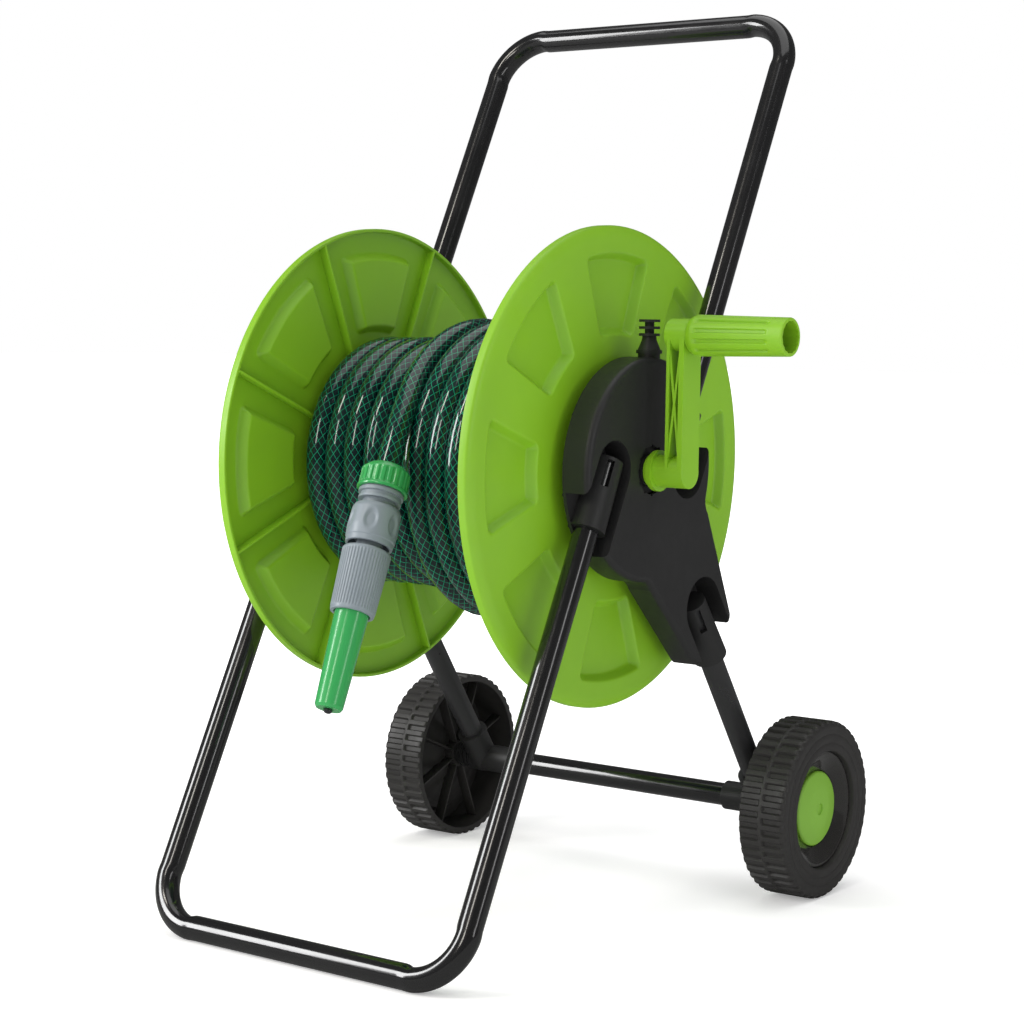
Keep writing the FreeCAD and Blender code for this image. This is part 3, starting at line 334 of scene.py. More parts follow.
def steel(name):
    """Zinc-plated steel with fine drawn lines."""
    n = Nodes(name)
    stretch = n.add("ShaderNodeMapping")
    stretch.inputs["Scale"].default_value = (1.0, 12.0, 12.0)
    n.link(n.coordinates(), stretch.inputs["Vector"])
    lines = n.noise(240.0, 6.0, vector=stretch.outputs["Vector"])
    n.link(n.ramp(lines, [(0.3, (0.42, 0.42, 0.44)), (0.7, (0.66, 0.66, 0.68))]),
           n.shader.inputs["Base Color"])
    n.link(n.spread(lines, 0.22, 0.42), n.shader.inputs["Roughness"])
    n.bump(lines, 0.2, 0.02 * MM)
    n.set(Metallic=1.0)
    return n.material


HOSE_YARNS = 10                # yarns each way round the hose
DIAMOND_LENGTH = 7.4           # mm along the hose between two yarns of the same way
YARN_WIDTH = 0.046             # share of the gap between yarns, from a yarn's middle to its edge


def hose_skin():
    """Clear outer skin over a dark tube: two sets of thin green yarns crossing as diamonds."""
    n = Nodes("hose_skin")
    uv = n.add("ShaderNodeUVMap", uv_map="hose").outputs["UV"]
    split = n.add("ShaderNodeSeparateXYZ")
    n.link(uv, split.inputs["Vector"])
    run, turn = split.outputs["X"], split.outputs["Y"]
    sway = n.spread(n.noise(55.0, 2.0), -0.06, 0.06)
    yarns = []
    for way in (1, -1):
        phase = n.math("ADD", n.math("MULTIPLY", turn, way * HOSE_YARNS), run)
        phase = n.math("ADD", phase, sway)
        distance = n.math("ABSOLUTE", n.math("SUBTRACT", n.math("FRACT", phase), 0.5))
        yarns.append(n.spread(distance, 1.0, 0.0, YARN_WIDTH * 0.5, YARN_WIDTH * 1.15))
    yarn = n.math("MAXIMUM", *yarns)
    wear = n.spread(n.noise(120.0, 3.0), 0.6, 1.0)
    fill = n.ramp(n.noise(30.0, 4.0), [(0.3, (0.0012, 0.0085, 0.0100)), (0.7, (0.0030, 0.0150, 0.0155))])
    mix = n.add("ShaderNodeMix", data_type="RGBA")
    mix.inputs["B"].default_value = (0.003, 0.34, 0.17, 1)
    n.link(fill, mix.inputs["A"])
    n.link(n.math("MULTIPLY", yarn, wear), mix.inputs["Factor"])
    n.link(mix.outputs["Result"], n.shader.inputs["Base Color"])
    n.link(n.spread(n.noise(70.0, 4.0), 0.2, 0.34), n.shader.inputs["Roughness"])
    n.bump(n.math("ADD", n.math("MULTIPLY", yarn, 0.6), n.noise(160.0, 3.0)), 0.18, 0.06 * MM)
    n.set(Coat_Weight=1.0, Coat_Roughness=0.025, Coat_IOR=1.55, Specular_IOR_Level=0.2)
    return n.material


LIME = (0.195, 0.415, 0.012)
BLACK = (0.0155, 0.0155, 0.0158)
MATERIALS = {
    "tube_black": paint("tube_paint", (0.0085, 0.0085, 0.009), 0.2, 0.25, 0.8),
    "leg_black": paint("leg_paint", (0.022, 0.022, 0.023), 0.34, 0.35, 0.2),
    "steel": steel("zinc_steel"),
    "disc_black": plastic("disc_gloss", (0.018, 0.017, 0.016), 0.16, 500.0, 0.006, coat=0.6),
    "wheel_black": plastic("wheel_plastic", (0.027, 0.0255, 0.0245), 0.5, 1100.0, 0.03),
    "cap_green": plastic("cap_plastic", (0.20, 0.43, 0.035), 0.42, 900.0, 0.012),
    "bush_plastic": plastic("bush_acetal", (0.68, 0.68, 0.64), 0.4),
    "bracket_black": plastic("bracket_plastic", BLACK, 0.46, 1000.0, 0.03),
    "seal_rubber": plastic("seal_rubber", (0.012, 0.012, 0.012), 0.65),
    "drum_green": plastic("drum_plastic", LIME, 0.4, 700.0, 0.016, shift=0.05, translucent=0.15),
    "spindle_black": plastic("spindle_plastic", (0.025, 0.025, 0.026), 0.4),
    "fitting_green": plastic("fitting_green", (0.034, 0.30, 0.08), 0.22, 600.0, 0.008, coat=0.4, shift=0.04),
    "fitting_grey": plastic("fitting_grey", (0.2, 0.235, 0.265), 0.36, 900.0, 0.014, shift=0.04),
    "needle_black": plastic("needle_plastic", (0.012, 0.013, 0.015), 0.15, coat=0.6),
    "hose_green": hose_skin(),
}


def dress_cad_nodes():
    """Give every CAD node that still shows the material of its own slot."""
    for part in frame["record"]["subparts"]:
        mesh = smooth(frame["nodes"][part["node"]].data, 32)
        mesh.materials.clear()
        mesh.materials.append(MATERIALS[part["material_slot"]])


# ---- hose -------------------------------------------------------------------------------------------
HOSE_D = 17.5
HOSE_PITCH = 18.4
TURN_POINTS = 16
TOP, FRONT = 0.25, 0.5         # of a turn from the back of the drum
LAYERS = [                     # a layer's radius, how much it sags, its first turn's place, step and turns
    (55.75, 0.0, -90.5, HOSE_PITCH, 10),
    (69.8, 0.8, 84.3, -HOSE_PITCH, 10),
    (86.8, 3.3, -90.5, HOSE_PITCH, 10),
    (103.5, 5.5, 89.3, -17.75, 5)]
FREE_ROUTE = [(-6.0, -65.5, 418.6), (9.2, -110.0, 384.0), (12.9, -130.0, 343.3)]
STEP_FROM, STEP_TO = 0.32, 0.68  # share of a turn, from the front, over which the hose steps sideways
CLIMB_FROM, CLIMB_TO = 0.28, 0.6
STEP_SHARE = 0.55              # of a sideways step is made there; the rest is spread over the turn
TAIL_BEND = 35.0               # the hose's inner end swings out from the core at this radius
TAIL_FROM, TAIL_STEP = -30, 20  # degrees, where that swing starts and its control points' step
HOSE_SIDES = 22
SHORTEST_STEP = 0.2 * MM       # between two rings of the hose
HOSE_START = (-90.5, 30.3, 345.85)


def ease(t):
    t = min(1.0, max(0.0, t))
    return t * t * (3 - 2 * t)


def on_drum(turns, radius, sag, x):
    """The point turns round from the back of the drum, over the top and down the front."""
    angle = 2 * math.pi * turns
    hull = (radius - sag * math.sin(angle)) / math.cos(math.pi / TURN_POINTS)
    return (x, hull * math.cos(angle), DRUM.z / MM + hull * math.sin(angle))


def coil_points():
    """Control points of the wound hose, layer on layer outwards.

    It wanders a little, as a real winding does.
    """
    stops = [(radius, sag, x0 + step * i) for radius, sag, x0, step, count in LAYERS for i in range(count)]
    last_x, last_y, last_z = FREE_ROUTE[0]
    stops.append((*LAYERS[-1][:2], last_x))
    leave = math.atan2(last_z - DRUM.z / MM, last_y) / (2 * math.pi)
    swing_z = DRUM.z / MM + LAYERS[0][0] - TAIL_BEND
    points = [HOSE_START]
    for degrees in range(TAIL_FROM + TAIL_STEP, 90, TAIL_STEP):
        a = math.radians(degrees)
        points.append((HOSE_START[0], TAIL_BEND * math.cos(a), swing_z + TAIL_BEND * math.sin(a)))
    wound = len(stops) - 1 + leave - TOP
    steps = round(wound * TURN_POINTS)
    for i in range(1, steps):
        now = TOP + wound * i / steps
        turn = min(max(math.floor(now - FRONT), 0), len(stops) - 2)
        share = max(now - FRONT - turn, 0.0)
        (r0, sag0, x0), (r1, sag1, x1) = stops[turn], stops[turn + 1]
        risen = ease((share - CLIMB_FROM) / (CLIMB_TO - CLIMB_FROM))
        if r0 == r1:
            moved = STEP_SHARE * ease((share - STEP_FROM) / (STEP_TO - STEP_FROM)) + (1 - STEP_SHARE) * share
        else:
            moved = risen
        wander_r = 0.3 * math.sin(4.3 * now)
        wander_x = 0.3 * math.sin(2.7 * now + 1.1) + 0.25 * math.sin(6.1 * now)
        points.append(on_drum(now, r0 + (r1 - r0) * risen + wander_r, sag0 + (sag1 - sag0) * risen,
                              x0 + (x1 - x0) * moved + wander_x))
    return points


def spline_points(points, resolution):
    """Points along the smooth line that these control points give."""
    curve = bpy.data.curves.new("route", "CURVE")
    curve.dimensions = "3D"
    curve.resolution_u = resolution
    spline = curve.splines.new("NURBS")
    spline.points.add(len(points) - 1)
    for point, place in zip(spline.points, points):
        point.co = (*place, 1)
    spline.order_u = 3
    spline.use_endpoint_u = True
    route = bpy.data.objects.new("route", curve)
    mesh = bpy.data.meshes.new_from_object(route)
    line = [v.co.copy() for v in mesh.vertices]
    bpy.data.objects.remove(route)
    bpy.data.curves.remove(curve)
    bpy.data.meshes.remove(mesh)
    kept = [line[0]]
    for p in line[1:]:
        if (p - kept[-1]).length > SHORTEST_STEP:
            kept.append(p)
    return kept


def tube_mesh(name, line, radius, around):
    """A round tube along line, and its length.

    Its map "hose" counts yarn crossings along the tube in X and goes from 0 to 1 round it in Y.
    """
    tangents = [(b - a).normalized() for a, b in zip(line[:-1], line[1:])]
    between = [(a + b).normalized() for a, b in zip(tangents[:-1], tangents[1:])]
    tangents = [tangents[0]] + between + [tangents[-1]]
    side = tangents[0].orthogonal().normalized()
    rings, runs, run = [], [], 0.0
    for before, place, tangent in zip([line[0]] + line, line, tangents):
        side = (side - tangent * side.dot(tangent)).normalized()
        up = tangent.cross(side)
        run += (place - before).length
        runs.append(run)
        rings.append([place + (side * math.cos(a) + up * math.sin(a)) * radius
                      for a in [2 * math.pi * j / around for j in range(around)]])
    mesh = grid_mesh(name, rings, caps=True)
    layer = mesh.uv_layers.new(name="hose")
    for face in mesh.polygons:
        columns = [v % around for v in face.vertices]
        wraps = len(columns) == 4 and min(columns) == 0 and max(columns) == around - 1
        for loop in face.loop_indices:
            vertex = mesh.loops[loop].vertex_index
            ring, j = divmod(vertex, around)
            turn = 1.0 if wraps and j == 0 else j / around
            layer.data[loop].uv = (runs[ring] / (DIAMOND_LENGTH * MM), turn)
    return smooth(mesh), run


def add_hose(pieces):
    """The wound hose with its free end. pieces, the connector's and nozzle's pieces, is not used."""
    line = spline_points([cart(*p) for p in coil_points() + FREE_ROUTE], 3)
    mesh, length = tube_mesh("hose", line, HOSE_D / 2 * MM, HOSE_SIDES)
    hose = new_object("hose", outward(mesh), MATERIALS["hose_green"], "reel", "hose_green",
                      "hose_coil", "hose_free_end")


# ---- drum flanges -----------------------------------------------------------------------------------
FLANGE_R = 175.0
FLANGE_T = 2.4
FLANGE_BORE = 14.0
RIM_REACH = 9.5                # how far in from the edge the face starts to curl
RIM_CURL = 3.8                 # how deep that curl goes
RIM_STEPS = 9
LIP_DEPTH = 9.1                # from the face to the end of the straight lip
PADS = 8
PAD_EVERY = 360 / PADS
PADS_FROM, PADS_TO = 90.0, 162.0  # radii between which the face isn't flat
PAD_IN_R, PAD_OUT_R = 95.5, 156.5
PAD_IN_ANGLE, PAD_OUT_ANGLE = 12.6, 15.3
PAD_DEPTH, PAD_CORNER = 7.0, 4.5
PAD_SLOPE, PRESS_SLOPE = 5.0, 4.3  # width of a pad's sloping wall on the drum's side and on the outer face
RIB_H, RIB_T, RIB_FROM, RIB_ROUND = 7.0, 2.0, 50.0, 0.45


def pad_height(r, degrees, inset, slope):
    """Height of the pressed pads where radius is r and the angle from a pad's middle is degrees."""
    a = np.radians(degrees)
    along, across = r * np.cos(a), np.abs(r * np.sin(a))
    ends = []
    for radius, angle in ((PAD_IN_R, PAD_IN_ANGLE), (PAD_OUT_R, PAD_OUT_ANGLE)):
        ends.append((radius * math.cos(math.radians(angle)), radius * math.sin(math.radians(angle))))
    (u0, v0), (u1, v1) = ends
    lean = math.atan2(v1 - v0, u1 - u0)
    side = (across - v0) * math.cos(lean) - (along - u0) * math.sin(lean)
    out = np.full_like(side, max(r - PAD_OUT_R, PAD_IN_R - r))
    both = np.stack([side, out]) + inset
    beyond, within = np.maximum(both + PAD_CORNER, 0), np.minimum(both.max(0) + PAD_CORNER, 0)
    corner = np.hypot(*beyond) + within - PAD_CORNER
    return PAD_DEPTH * softstep(-corner / slope, 0.07)


def flange_columns(r):
    """Angles round one pad, in degrees from its middle, that follow its sides at radius r."""
    share = min(max((r - PAD_IN_R) / (PAD_OUT_R - PAD_IN_R), 0.0), 1.0)
    foot = PAD_IN_ANGLE + (PAD_OUT_ANGLE - PAD_IN_ANGLE) * share
    slope = math.degrees(PAD_SLOPE / max(r, PAD_IN_R))
    stops = [0, foot - 2.1 * slope, foot - 1.3 * slope, foot + 0.3 * slope, PAD_EVERY / 2]
    half = []
    for a, b, count in zip(stops, stops[1:], (5, 4, 10, 3)):
        half += [a + (b - a) * i / count for i in range(count)]
    return [-PAD_EVERY / 2] + [-a for a in half[:0:-1]] + half


def add_flange(side):
    """One flange of the drum: its outer face looks along side and its ribs stand on the hose's side."""
    node = named(side, "flange")
    low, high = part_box(node)
    out = high.x if side > 0 else low.x
    pad_edge = [0.8 * i for i in range(13)]
    radii = [FLANGE_BORE, 30, 60, 85, 90, 93] + [94.5 + a for a in pad_edge]
    radii += [108, 114, 120, 126, 132, 138, 144, 147] + [148.5 + a for a in pad_edge] + [161, 164]

    def ring(r, depth, inset=None, slope=PAD_SLOPE):
        """One ring of points at radius r and depth; with an inset it follows the pads."""
        around_pad = flange_columns(r)
        angles = np.radians([PAD_EVERY * k + a for k in range(PADS) for a in around_pad])
        if inset is not None and PADS_FROM < r < PADS_TO:
            depth = depth + np.tile(pad_height(r, around_pad, inset, slope), PADS)
        x = np.broadcast_to(out - side * depth * MM, angles.shape)
        return np.column_stack([x, DRUM.y + r * MM * np.cos(angles), DRUM.z + r * MM * np.sin(angles)])

    curl = [math.radians(90 * i / RIM_STEPS) for i in range(RIM_STEPS + 1)]
    rings = [ring(r, FLANGE_T, 0.0) for r in radii]
    rings += [ring(FLANGE_R - RIM_REACH + (RIM_REACH - FLANGE_T) * math.sin(a),
                   FLANGE_T + (RIM_CURL - FLANGE_T) * (1 - math.cos(a))) for a in curl]
    rings += [ring(FLANGE_R - FLANGE_T, LIP_DEPTH - 0.4), ring(FLANGE_R - FLANGE_T + 0.4, LIP_DEPTH),
              ring(FLANGE_R - 0.5, LIP_DEPTH), ring(FLANGE_R, LIP_DEPTH - 0.5)]
    rings += [ring(FLANGE_R - RIM_REACH + RIM_REACH * math.sin(a), RIM_CURL * (1 - math.cos(a)))
              for a in curl[::-1]]
    rings += [ring(r, 0.0, FLANGE_T / 2, PRESS_SLOPE) for r in radii[::-1]]
    mesh = grid_sheet(node + "_skin", rings)
    inner = (out - CART.x) / MM - side * FLANGE_T
    x0, x1 = sorted((inner + side * 0.5, inner - side * RIB_H))
    for k in range(PADS):
        turn = Matrix.Rotation(math.radians(PAD_EVERY * (k + 0.5)), 3, "X")
        add_box(mesh, (x0, RIB_FROM, -RIB_T / 2), (x1, FLANGE_R - FLANGE_T + 0.5, RIB_T / 2), RIB_ROUND,
                turn, (0, 0, DRUM.z / MM))
    smooth(mesh, 40)
    new_object(node + "_skin", mesh, MATERIALS["drum_green"], "reel", "drum_green", node)


# ---- wheels -----------------------------------------------------------------------------------------
SLOTS = 48
SLOT_COLUMNS = (0.0, 0.10, 0.19, 0.25, 0.31, 0.40, 0.5, 0.60, 0.69, 0.75, 0.81, 0.90)
SLOT_DEPTH = 2.1
INNER_ROW, OUTER_ROW = (157.0, 174.6), (176.9, 197.0)
WHEEL_IN, WHEEL_FACE = 157.3, 196.1
BORE_R, HUB_R = 4.1, 11.0
SPOKES, SPOKE_T, SPOKE_ROUND = 8, 1.6, 0.3
SPOKE_X = (166.5, 176.0)


def slot_depth(x, turn):
    """Depth of the tread's slots; turn counts slots round the wheel."""
    depth = np.zeros(len(turn))
    for (x0, x1), shift in ((INNER_ROW, 0.0), (OUTER_ROW, 0.5)):
        across = np.abs((turn + shift) % 1.0 - 0.5)
        inside = min(x - x0, x1 - x)
        depth += softstep((0.28 - across) / 0.07) * float(softstep(inside / 1.2))
    return SLOT_DEPTH * depth


def add_wheel(side):
    """One wheel: the slotted tread, side wall, hub and the spokes behind its dish."""
    node = named(side, "wheel")
    face, r = WHEEL_FACE, WHEEL_R / MM
    rows = [[2.5 * i + x for i in range(4)] for x in (164, 182)]
    tread = [WHEEL_IN, 157.5, 158.0, 159.0, 161, *rows[0], 173.0, 173.6, 174.2, 174.8, 175.6, 176.4,
             177.0, 177.6, 178.2, 179, *rows[1]]
    profile = [(x, r - 1.5 * max(0.0, (158.5 - x) / 1.2) ** 2, 1) for x in tread]
    for i in range(9):
        a = math.radians(90 * i / 8)
        profile.append((face - 4.5 + 4.5 * math.sin(a), r - 5 + 5 * math.cos(a), 1.0 - 0.12 * i))
    profile += [(face, 60.4, 0), (face - 0.25, 60.0, 0), (face - 0.25, 59.5, 0), (face, 59.1, 0),
                (face, 53.5, 0), (face - 0.2, 53.2, 0), (face - 0.2, 52.6, 0), (face, 52.3, 0),
                (face, 47.6, 0), (face - 0.4, 46.6, 0), (face - 1.2, 46.0, 0), (face - 6, 46.0, 0),
                (face - 6, 42.6, 0), (face - 8.1, 42.5, 0), (177, 20, 0), (177, HUB_R, 0), (184, HUB_R, 0),
                (184, BORE_R, 0), (166, BORE_R, 0), (166, HUB_R, 0), (174.5, HUB_R, 0), (174.5, 21, 0),
                (face - 10.6, 43.5, 0), (face - 10.6, 50, 0), (face - 5, 54, 0), (face - 5, r - 6, 0),
                (WHEEL_IN + 0.2, r - 6, 0), (WHEEL_IN, r - 5.6, 0), (WHEEL_IN, r - 1.9, 0)]
    turns = np.array([k + c for k in range(SLOTS) for c in SLOT_COLUMNS])
    angles = 2 * math.pi * turns / SLOTS
    rings = []
    for x, radius, share in profile:
        cut = (radius - slot_depth(x, turns) * share) * MM
        rings.append(np.column_stack([np.full(len(turns), CART.x + side * x * MM),
                                      AXLE.y + cut * np.cos(angles), AXLE.z + cut * np.sin(angles)]))
    mesh = grid_sheet(node + "_tyre", rings)
    x0, x1 = sorted(side * x for x in SPOKE_X)
    for k in range(SPOKES):
        turn = Matrix.Rotation(math.radians((k + 0.5) * 360 / SPOKES), 3, "X")
        add_box(mesh, (x0, HUB_R - 1, -SPOKE_T / 2), (x1, r - 5.5, SPOKE_T / 2), SPOKE_ROUND, turn,
                (0, (AXLE.y - CART.y) / MM, AXLE.z / MM))
    smooth(mesh, 38)
    new_object(node + "_tyre", mesh, MATERIALS["wheel_black"], node, "wheel_black", node)


# ---- tubes ------------------------------------------------------------------------------------------
TUBE_R = 9.0
TUBE_X = 137.4
HOOP_LEAN = math.radians(26.5)
HOOP_OFFSET = 38.0
HOOP_BEND = 38.0
SOCKET_START = 12.0
PINCH = 1.7                    # how much a bend is pressed in on its inside
BEND_STEP = 0.5                # how much wider the tube is on the outside of a bend
BEND_SIDES = 0.35              # how much wider it is at the sides of a bend
PRESS_LEAD, PRESS_RAMP = 0.05, 0.12  # radians: the press starts before the bend and eases in
TUBE_SIDES = 40
BEND_STATIONS = 30
INNER_END = 0.86               # share of the radius where a tube's end turns flat
HANDLE_REACH = 400.0


def hoop_point(n, m, x):
    """The CAD's slanted axes: n behind the drum's axis, m up along the hoop's legs."""
    return Vector((x, n * math.cos(HOOP_LEAN) + m * math.sin(HOOP_LEAN),
                   DRUM.z / MM - n * math.sin(HOOP_LEAN) + m * math.cos(HOOP_LEAN)))


def add_hoop(node, n, start, reach):
    """A hoop of round tube from one socket to the other, pressed in at its bends by the bending tool."""
    corners = [hoop_point(n, start, -TUBE_X), hoop_point(n, reach, -TUBE_X), hoop_point(n, reach, TUBE_X),
               hoop_point(n, start, TUBE_X)]
    stations = [(corners[0], (corners[1] - corners[0]).normalized(), None, 0.0)]
    for a, b, c in zip(corners, corners[1:], corners[2:]):
        u, w = (a - b).normalized(), (c - b).normalized()
        centre = b + (u + w) * HOOP_BEND
        for i in range(-2, BEND_STATIONS + 3):
            turn = math.radians(90 * i / BEND_STATIONS)
            inside = min(max(turn, 0.0), math.pi / 2)
            place = centre - w * HOOP_BEND * math.cos(inside) - u * HOOP_BEND * math.sin(inside)
            way = w * math.sin(inside) - u * math.cos(inside)
            place = place + way * HOOP_BEND * (turn - inside)
            press = float(softstep((turn + PRESS_LEAD) / PRESS_RAMP)
                          * softstep((math.pi / 2 - turn + PRESS_LEAD) / PRESS_RAMP))
            stations.append((place, way, (centre - place).normalized(), press))
    stations.append((corners[3], (corners[3] - corners[2]).normalized(), None, 0.0))
    inward = stations[1][2]
    angles = [2 * math.pi * i / TUBE_SIDES for i in range(TUBE_SIDES)]
    rings = []
    for place, way, to_centre, press in stations:
        if to_centre is not None:
            inward = to_centre
        inward = (inward - way * inward.dot(way)).normalized()
        across = way.cross(inward)
        ring = []
        for a in angles:
            c = math.cos(a)
            bent = BEND_STEP * max(0.0, -c) - PINCH * max(0.0, c) ** 2 + BEND_SIDES * math.sin(a) ** 2
            ring.append(CART + (place + (inward * c + across * math.sin(a)) * (TUBE_R + press * bent)) * MM)
        rings.append(ring)
    ends = []
    for station, ring in ((stations[0], rings[0]), (stations[-1], rings[-1])):
        centre = CART + station[0] * MM
        ends.append([centre + (point - centre) * INNER_END for point in ring])
    mesh = grid_mesh(node + "_skin", [ends[0]] + rings + [ends[1]], caps=True)
    smooth(outward(mesh), 40)
    new_object(node + "_skin", mesh, MATERIALS["tube_black"], "frame", "tube_black", node)


# ---- grip, connector and nozzle -----------------------------------------------------------------------
GRIP_IN, GRIP_END = 183.8, 261.5
GRIP_SHOULDER_R, GRIP_TIP_R = 14.7, 13.5
GRIP_HOLLOW_R, GRIP_BORE_R = 11.2, 7.1
GRIP_FLOOR = 224.6             # where the hollow that opens at the tip ends
GRIP_GROOVES = (191.5, 249.0)
GRIP_GROOVE_DEPTH = 1.3


def add_grip():
    """The crank's grip: fluted outside, wavy in the hollow at its tip."""
    centre = Vector((CART.x, DRUM.y, middle("crank_grip").z))
    outer = filled(soft_profile([(GRIP_IN, 9.0), (GRIP_IN, 12.8), (GRIP_IN + 4.2, GRIP_SHOULDER_R),
                                 (GRIP_END, GRIP_TIP_R), (GRIP_END, GRIP_HOLLOW_R)], 0.7), 1.1)
    inner = [(GRIP_FLOOR, GRIP_HOLLOW_R), (GRIP_FLOOR, GRIP_BORE_R), (GRIP_IN, GRIP_BORE_R)]
    count = len(outer)

    def relief(i, a, angles):
        if i < count and GRIP_IN + 3 < a < GRIP_END - 1:
            inside = min(a - GRIP_GROOVES[0], GRIP_GROOVES[1] - a)
            return GRIP_GROOVE_DEPTH * softstep(inside / 1.4 + 0.4) * grooves(angles, 12, 0.19, 0.25)
        if a > GRIP_FLOOR and i >= count - 3:
            return 0.55 * grooves(angles, 14, 0.3, 0.9) - 0.3
        return 0.0

    mesh = lathe("grip", outer + inner, centre, (1, 0, 0), 240, relief)
    new_object("grip", mesh, MATERIALS["drum_green"], "crank_grip", "drum_green", "crank_grip")


# along the connector's axis, from the nut's hose end
NUT_LEN = 19.0
SLEEVE_IN = NUT_LEN + 12.5
BODY_END = 60.4
NOZZLE_IN, NOZZLE_OUT = 64.0, 111.0
DIMPLE_AT = SLEEVE_IN + 13.5
DIMPLES, DIMPLE_HALF_WIDTH, DIMPLE_HALF_LENGTH, DIMPLE_DEPTH = 6, 5.0, 7.8, 1.7
SLEEVE_R = 17.8


def add_connector():
    """The connector's nut and sleeve and the nozzle's body, each a closed turned shell with its grips."""
    pieces = []

    def part(name, profile, relief, columns, slot, body, node):
        mesh = lathe(name, profile, NOZZLE_AT, NOZZLE_DIR, columns, relief)
        pieces.append(new_object(name, mesh, MATERIALS[slot], body, slot, node))

    nut = filled(soft_profile([(0, 8.8), (0, 13.2), (2.0, 15.6), (4.5, 17.7), (16.8, 17.7), (17.1, 18.4),
                               (NUT_LEN, 18.4), (NUT_LEN, 15.6)], 0.6), 0.9)
    nut_count = len(nut)
    nut += [(7, 15.6), (7, 8.8)]

    def nut_grip(i, a, angles):
        if i >= nut_count:
            return 0.0
        return softstep((a - 4.2) / 1.6) * softstep((16.9 - a) / 0.9) * grooves(angles, 22, 0.2, 0.5)

    part("nut_skin", nut, nut_grip, 308, "fitting_green", "reel", "connector_nut")

    sleeve = filled(soft_profile([(SLEEVE_IN, 12.3), (SLEEVE_IN, 16.0), (SLEEVE_IN + 3, 17.5),
                                  (SLEEVE_IN + 17, 18.1), (BODY_END - 4.2, 17.6), (BODY_END - 4.0, 17.1),
                                  (BODY_END, 16.8), (BODY_END, 14.8)], 0.7), 0.8)
    sleeve_count = len(sleeve)
    sleeve += [(55, 14.8), (55, 12.3)]

    def dimples(i, a, angles):
        if i >= sleeve_count or abs(a - DIMPLE_AT) > 9:
            return 0.0
        off = np.abs((angles / (2 * math.pi) * DIMPLES) % 1.0 - 0.5) * 2 * math.pi / DIMPLES * SLEEVE_R
        far = np.hypot(off / DIMPLE_HALF_WIDTH, (a - DIMPLE_AT) / DIMPLE_HALF_LENGTH)
        return DIMPLE_DEPTH * softstep((1.0 - far) / 0.34, 0.14)

    part("sleeve_skin", sleeve, dimples, 288, "fitting_grey", "release_sleeve", "connector_sleeve")

    shell = filled(soft_profile([(NOZZLE_IN, 14.0), (NOZZLE_IN, 16.7), (NOZZLE_IN + 1.4, 17.5),
                                 (NOZZLE_IN + 3, 17.4), (NOZZLE_OUT - 3, 16.0), (NOZZLE_OUT, 15.4),
                                 (NOZZLE_OUT, 13.0)], 0.5), 1.5)
    shell_count = len(shell)
    shell += [(NOZZLE_IN + 6, 13.0), (NOZZLE_IN + 6, 9.0), (NOZZLE_OUT - 8, 9.0), (NOZZLE_OUT - 8, 4.0),
              (36, 4.0), (36, 6.6), (50, 6.6), (50, 8.0), (55, 8.8), (58, 8.8), (58, 9.5), (NOZZLE_IN, 9.5)]

    def ribs(i, a, angles):
        if i >= shell_count:
            return 0.0
        ends = softstep((a - NOZZLE_IN - 2.2) / 1.2) * softstep((NOZZLE_OUT - 2.6 - a) / 1.2)
        return 0.6 * ends * grooves(angles, 44, 0.2, 0.7)

    part("nozzle_skin", shell, ribs, 396, "fitting_grey", "reel", "nozzle_body")
    return pieces


# ---- wheel trims --------------------------------------------------------------------------------------
TRIM_COLUMNS = 160
DISH_AT, DISH_R = 190.1, 45.7
CAP_AT, CAP_R = 187.0, 29.5
CAP_TOP = CAP_AT + 3.6


def add_wheel_trim(side):
    """The black dish and the green hub cap of one wheel."""
    dish = [(DISH_AT, DISH_R - 3.3), (DISH_AT, DISH_R), (DISH_AT + 2, DISH_R), (DISH_AT + 2, DISH_R - 2.5),
            (DISH_AT + 0.9, DISH_R - 5.5), (CAP_AT - 1, CAP_R + 0.7), (CAP_AT - 2.6, CAP_R + 0.7)]
    cap = [(CAP_AT - 4, CAP_R - 1.6), (CAP_AT - 4, CAP_R), (CAP_AT - 0.6, CAP_R), (CAP_AT + 0.6, CAP_R - 1.2),
           (CAP_AT + 2.6, 16.2), (CAP_TOP, 5.4), (CAP_TOP - 0.2, 4.4), (CAP_TOP - 1.6, 4.2),
           (CAP_TOP - 1.6, 0.0)]
    back = [(CAP_TOP - 2.6, 0.0), (CAP_TOP - 2.6, 10.9), (179, 11.0), (179, 12.6), (CAP_TOP - 2.7, 12.6),
            (CAP_AT - 0.4, CAP_R - 2.2)]
    for kind, profile, slot, node in (("dish", soft_profile(dish, 0.6), "disc_black", "wheel_disc"),
                                      ("cap", soft_profile(cap, 0.5) + back, "cap_green", "hub_cap")):
        name = named(side, kind)
        mesh = lathe(name, profile, (CART.x, AXLE.y, AXLE.z), (side, 0, 0), TRIM_COLUMNS)
        new_object(name, mesh, MATERIALS[slot], named(side, "wheel"), slot, named(side, node))


# ---- edges of the plain CAD mouldings -----------------------------------------------------------------
BEVEL_ANGLE = 40


def round_edges(node, width, segments):
    """Break the sharp edges of a CAD node that still shows."""
    bevel = frame["nodes"][node].modifiers.new("edges", "BEVEL")
    bevel.width = width * MM
    bevel.segments = segments
    bevel.limit_method = "ANGLE"
    bevel.angle_limit = math.radians(BEVEL_ANGLE)
    bevel.harden_normals = True


# ---- floor and light --------------------------------------------------------------------------------
FLOOR_SIZE = 40.0
FLOOR_GLOW = 0.3               # near the cart; it rises to 1 over GLOW_RISES metres from the middle
GLOW_RISES = (0.5, 1.7)
FLOOR_MIRRORED = 0.22
WORLD_LIGHT = 0.62             # for surfaces; mirrors see a dim room instead
WORLD_MIRRORED = 0.07
LIGHTS_AIM = (0, 0, 0.35)


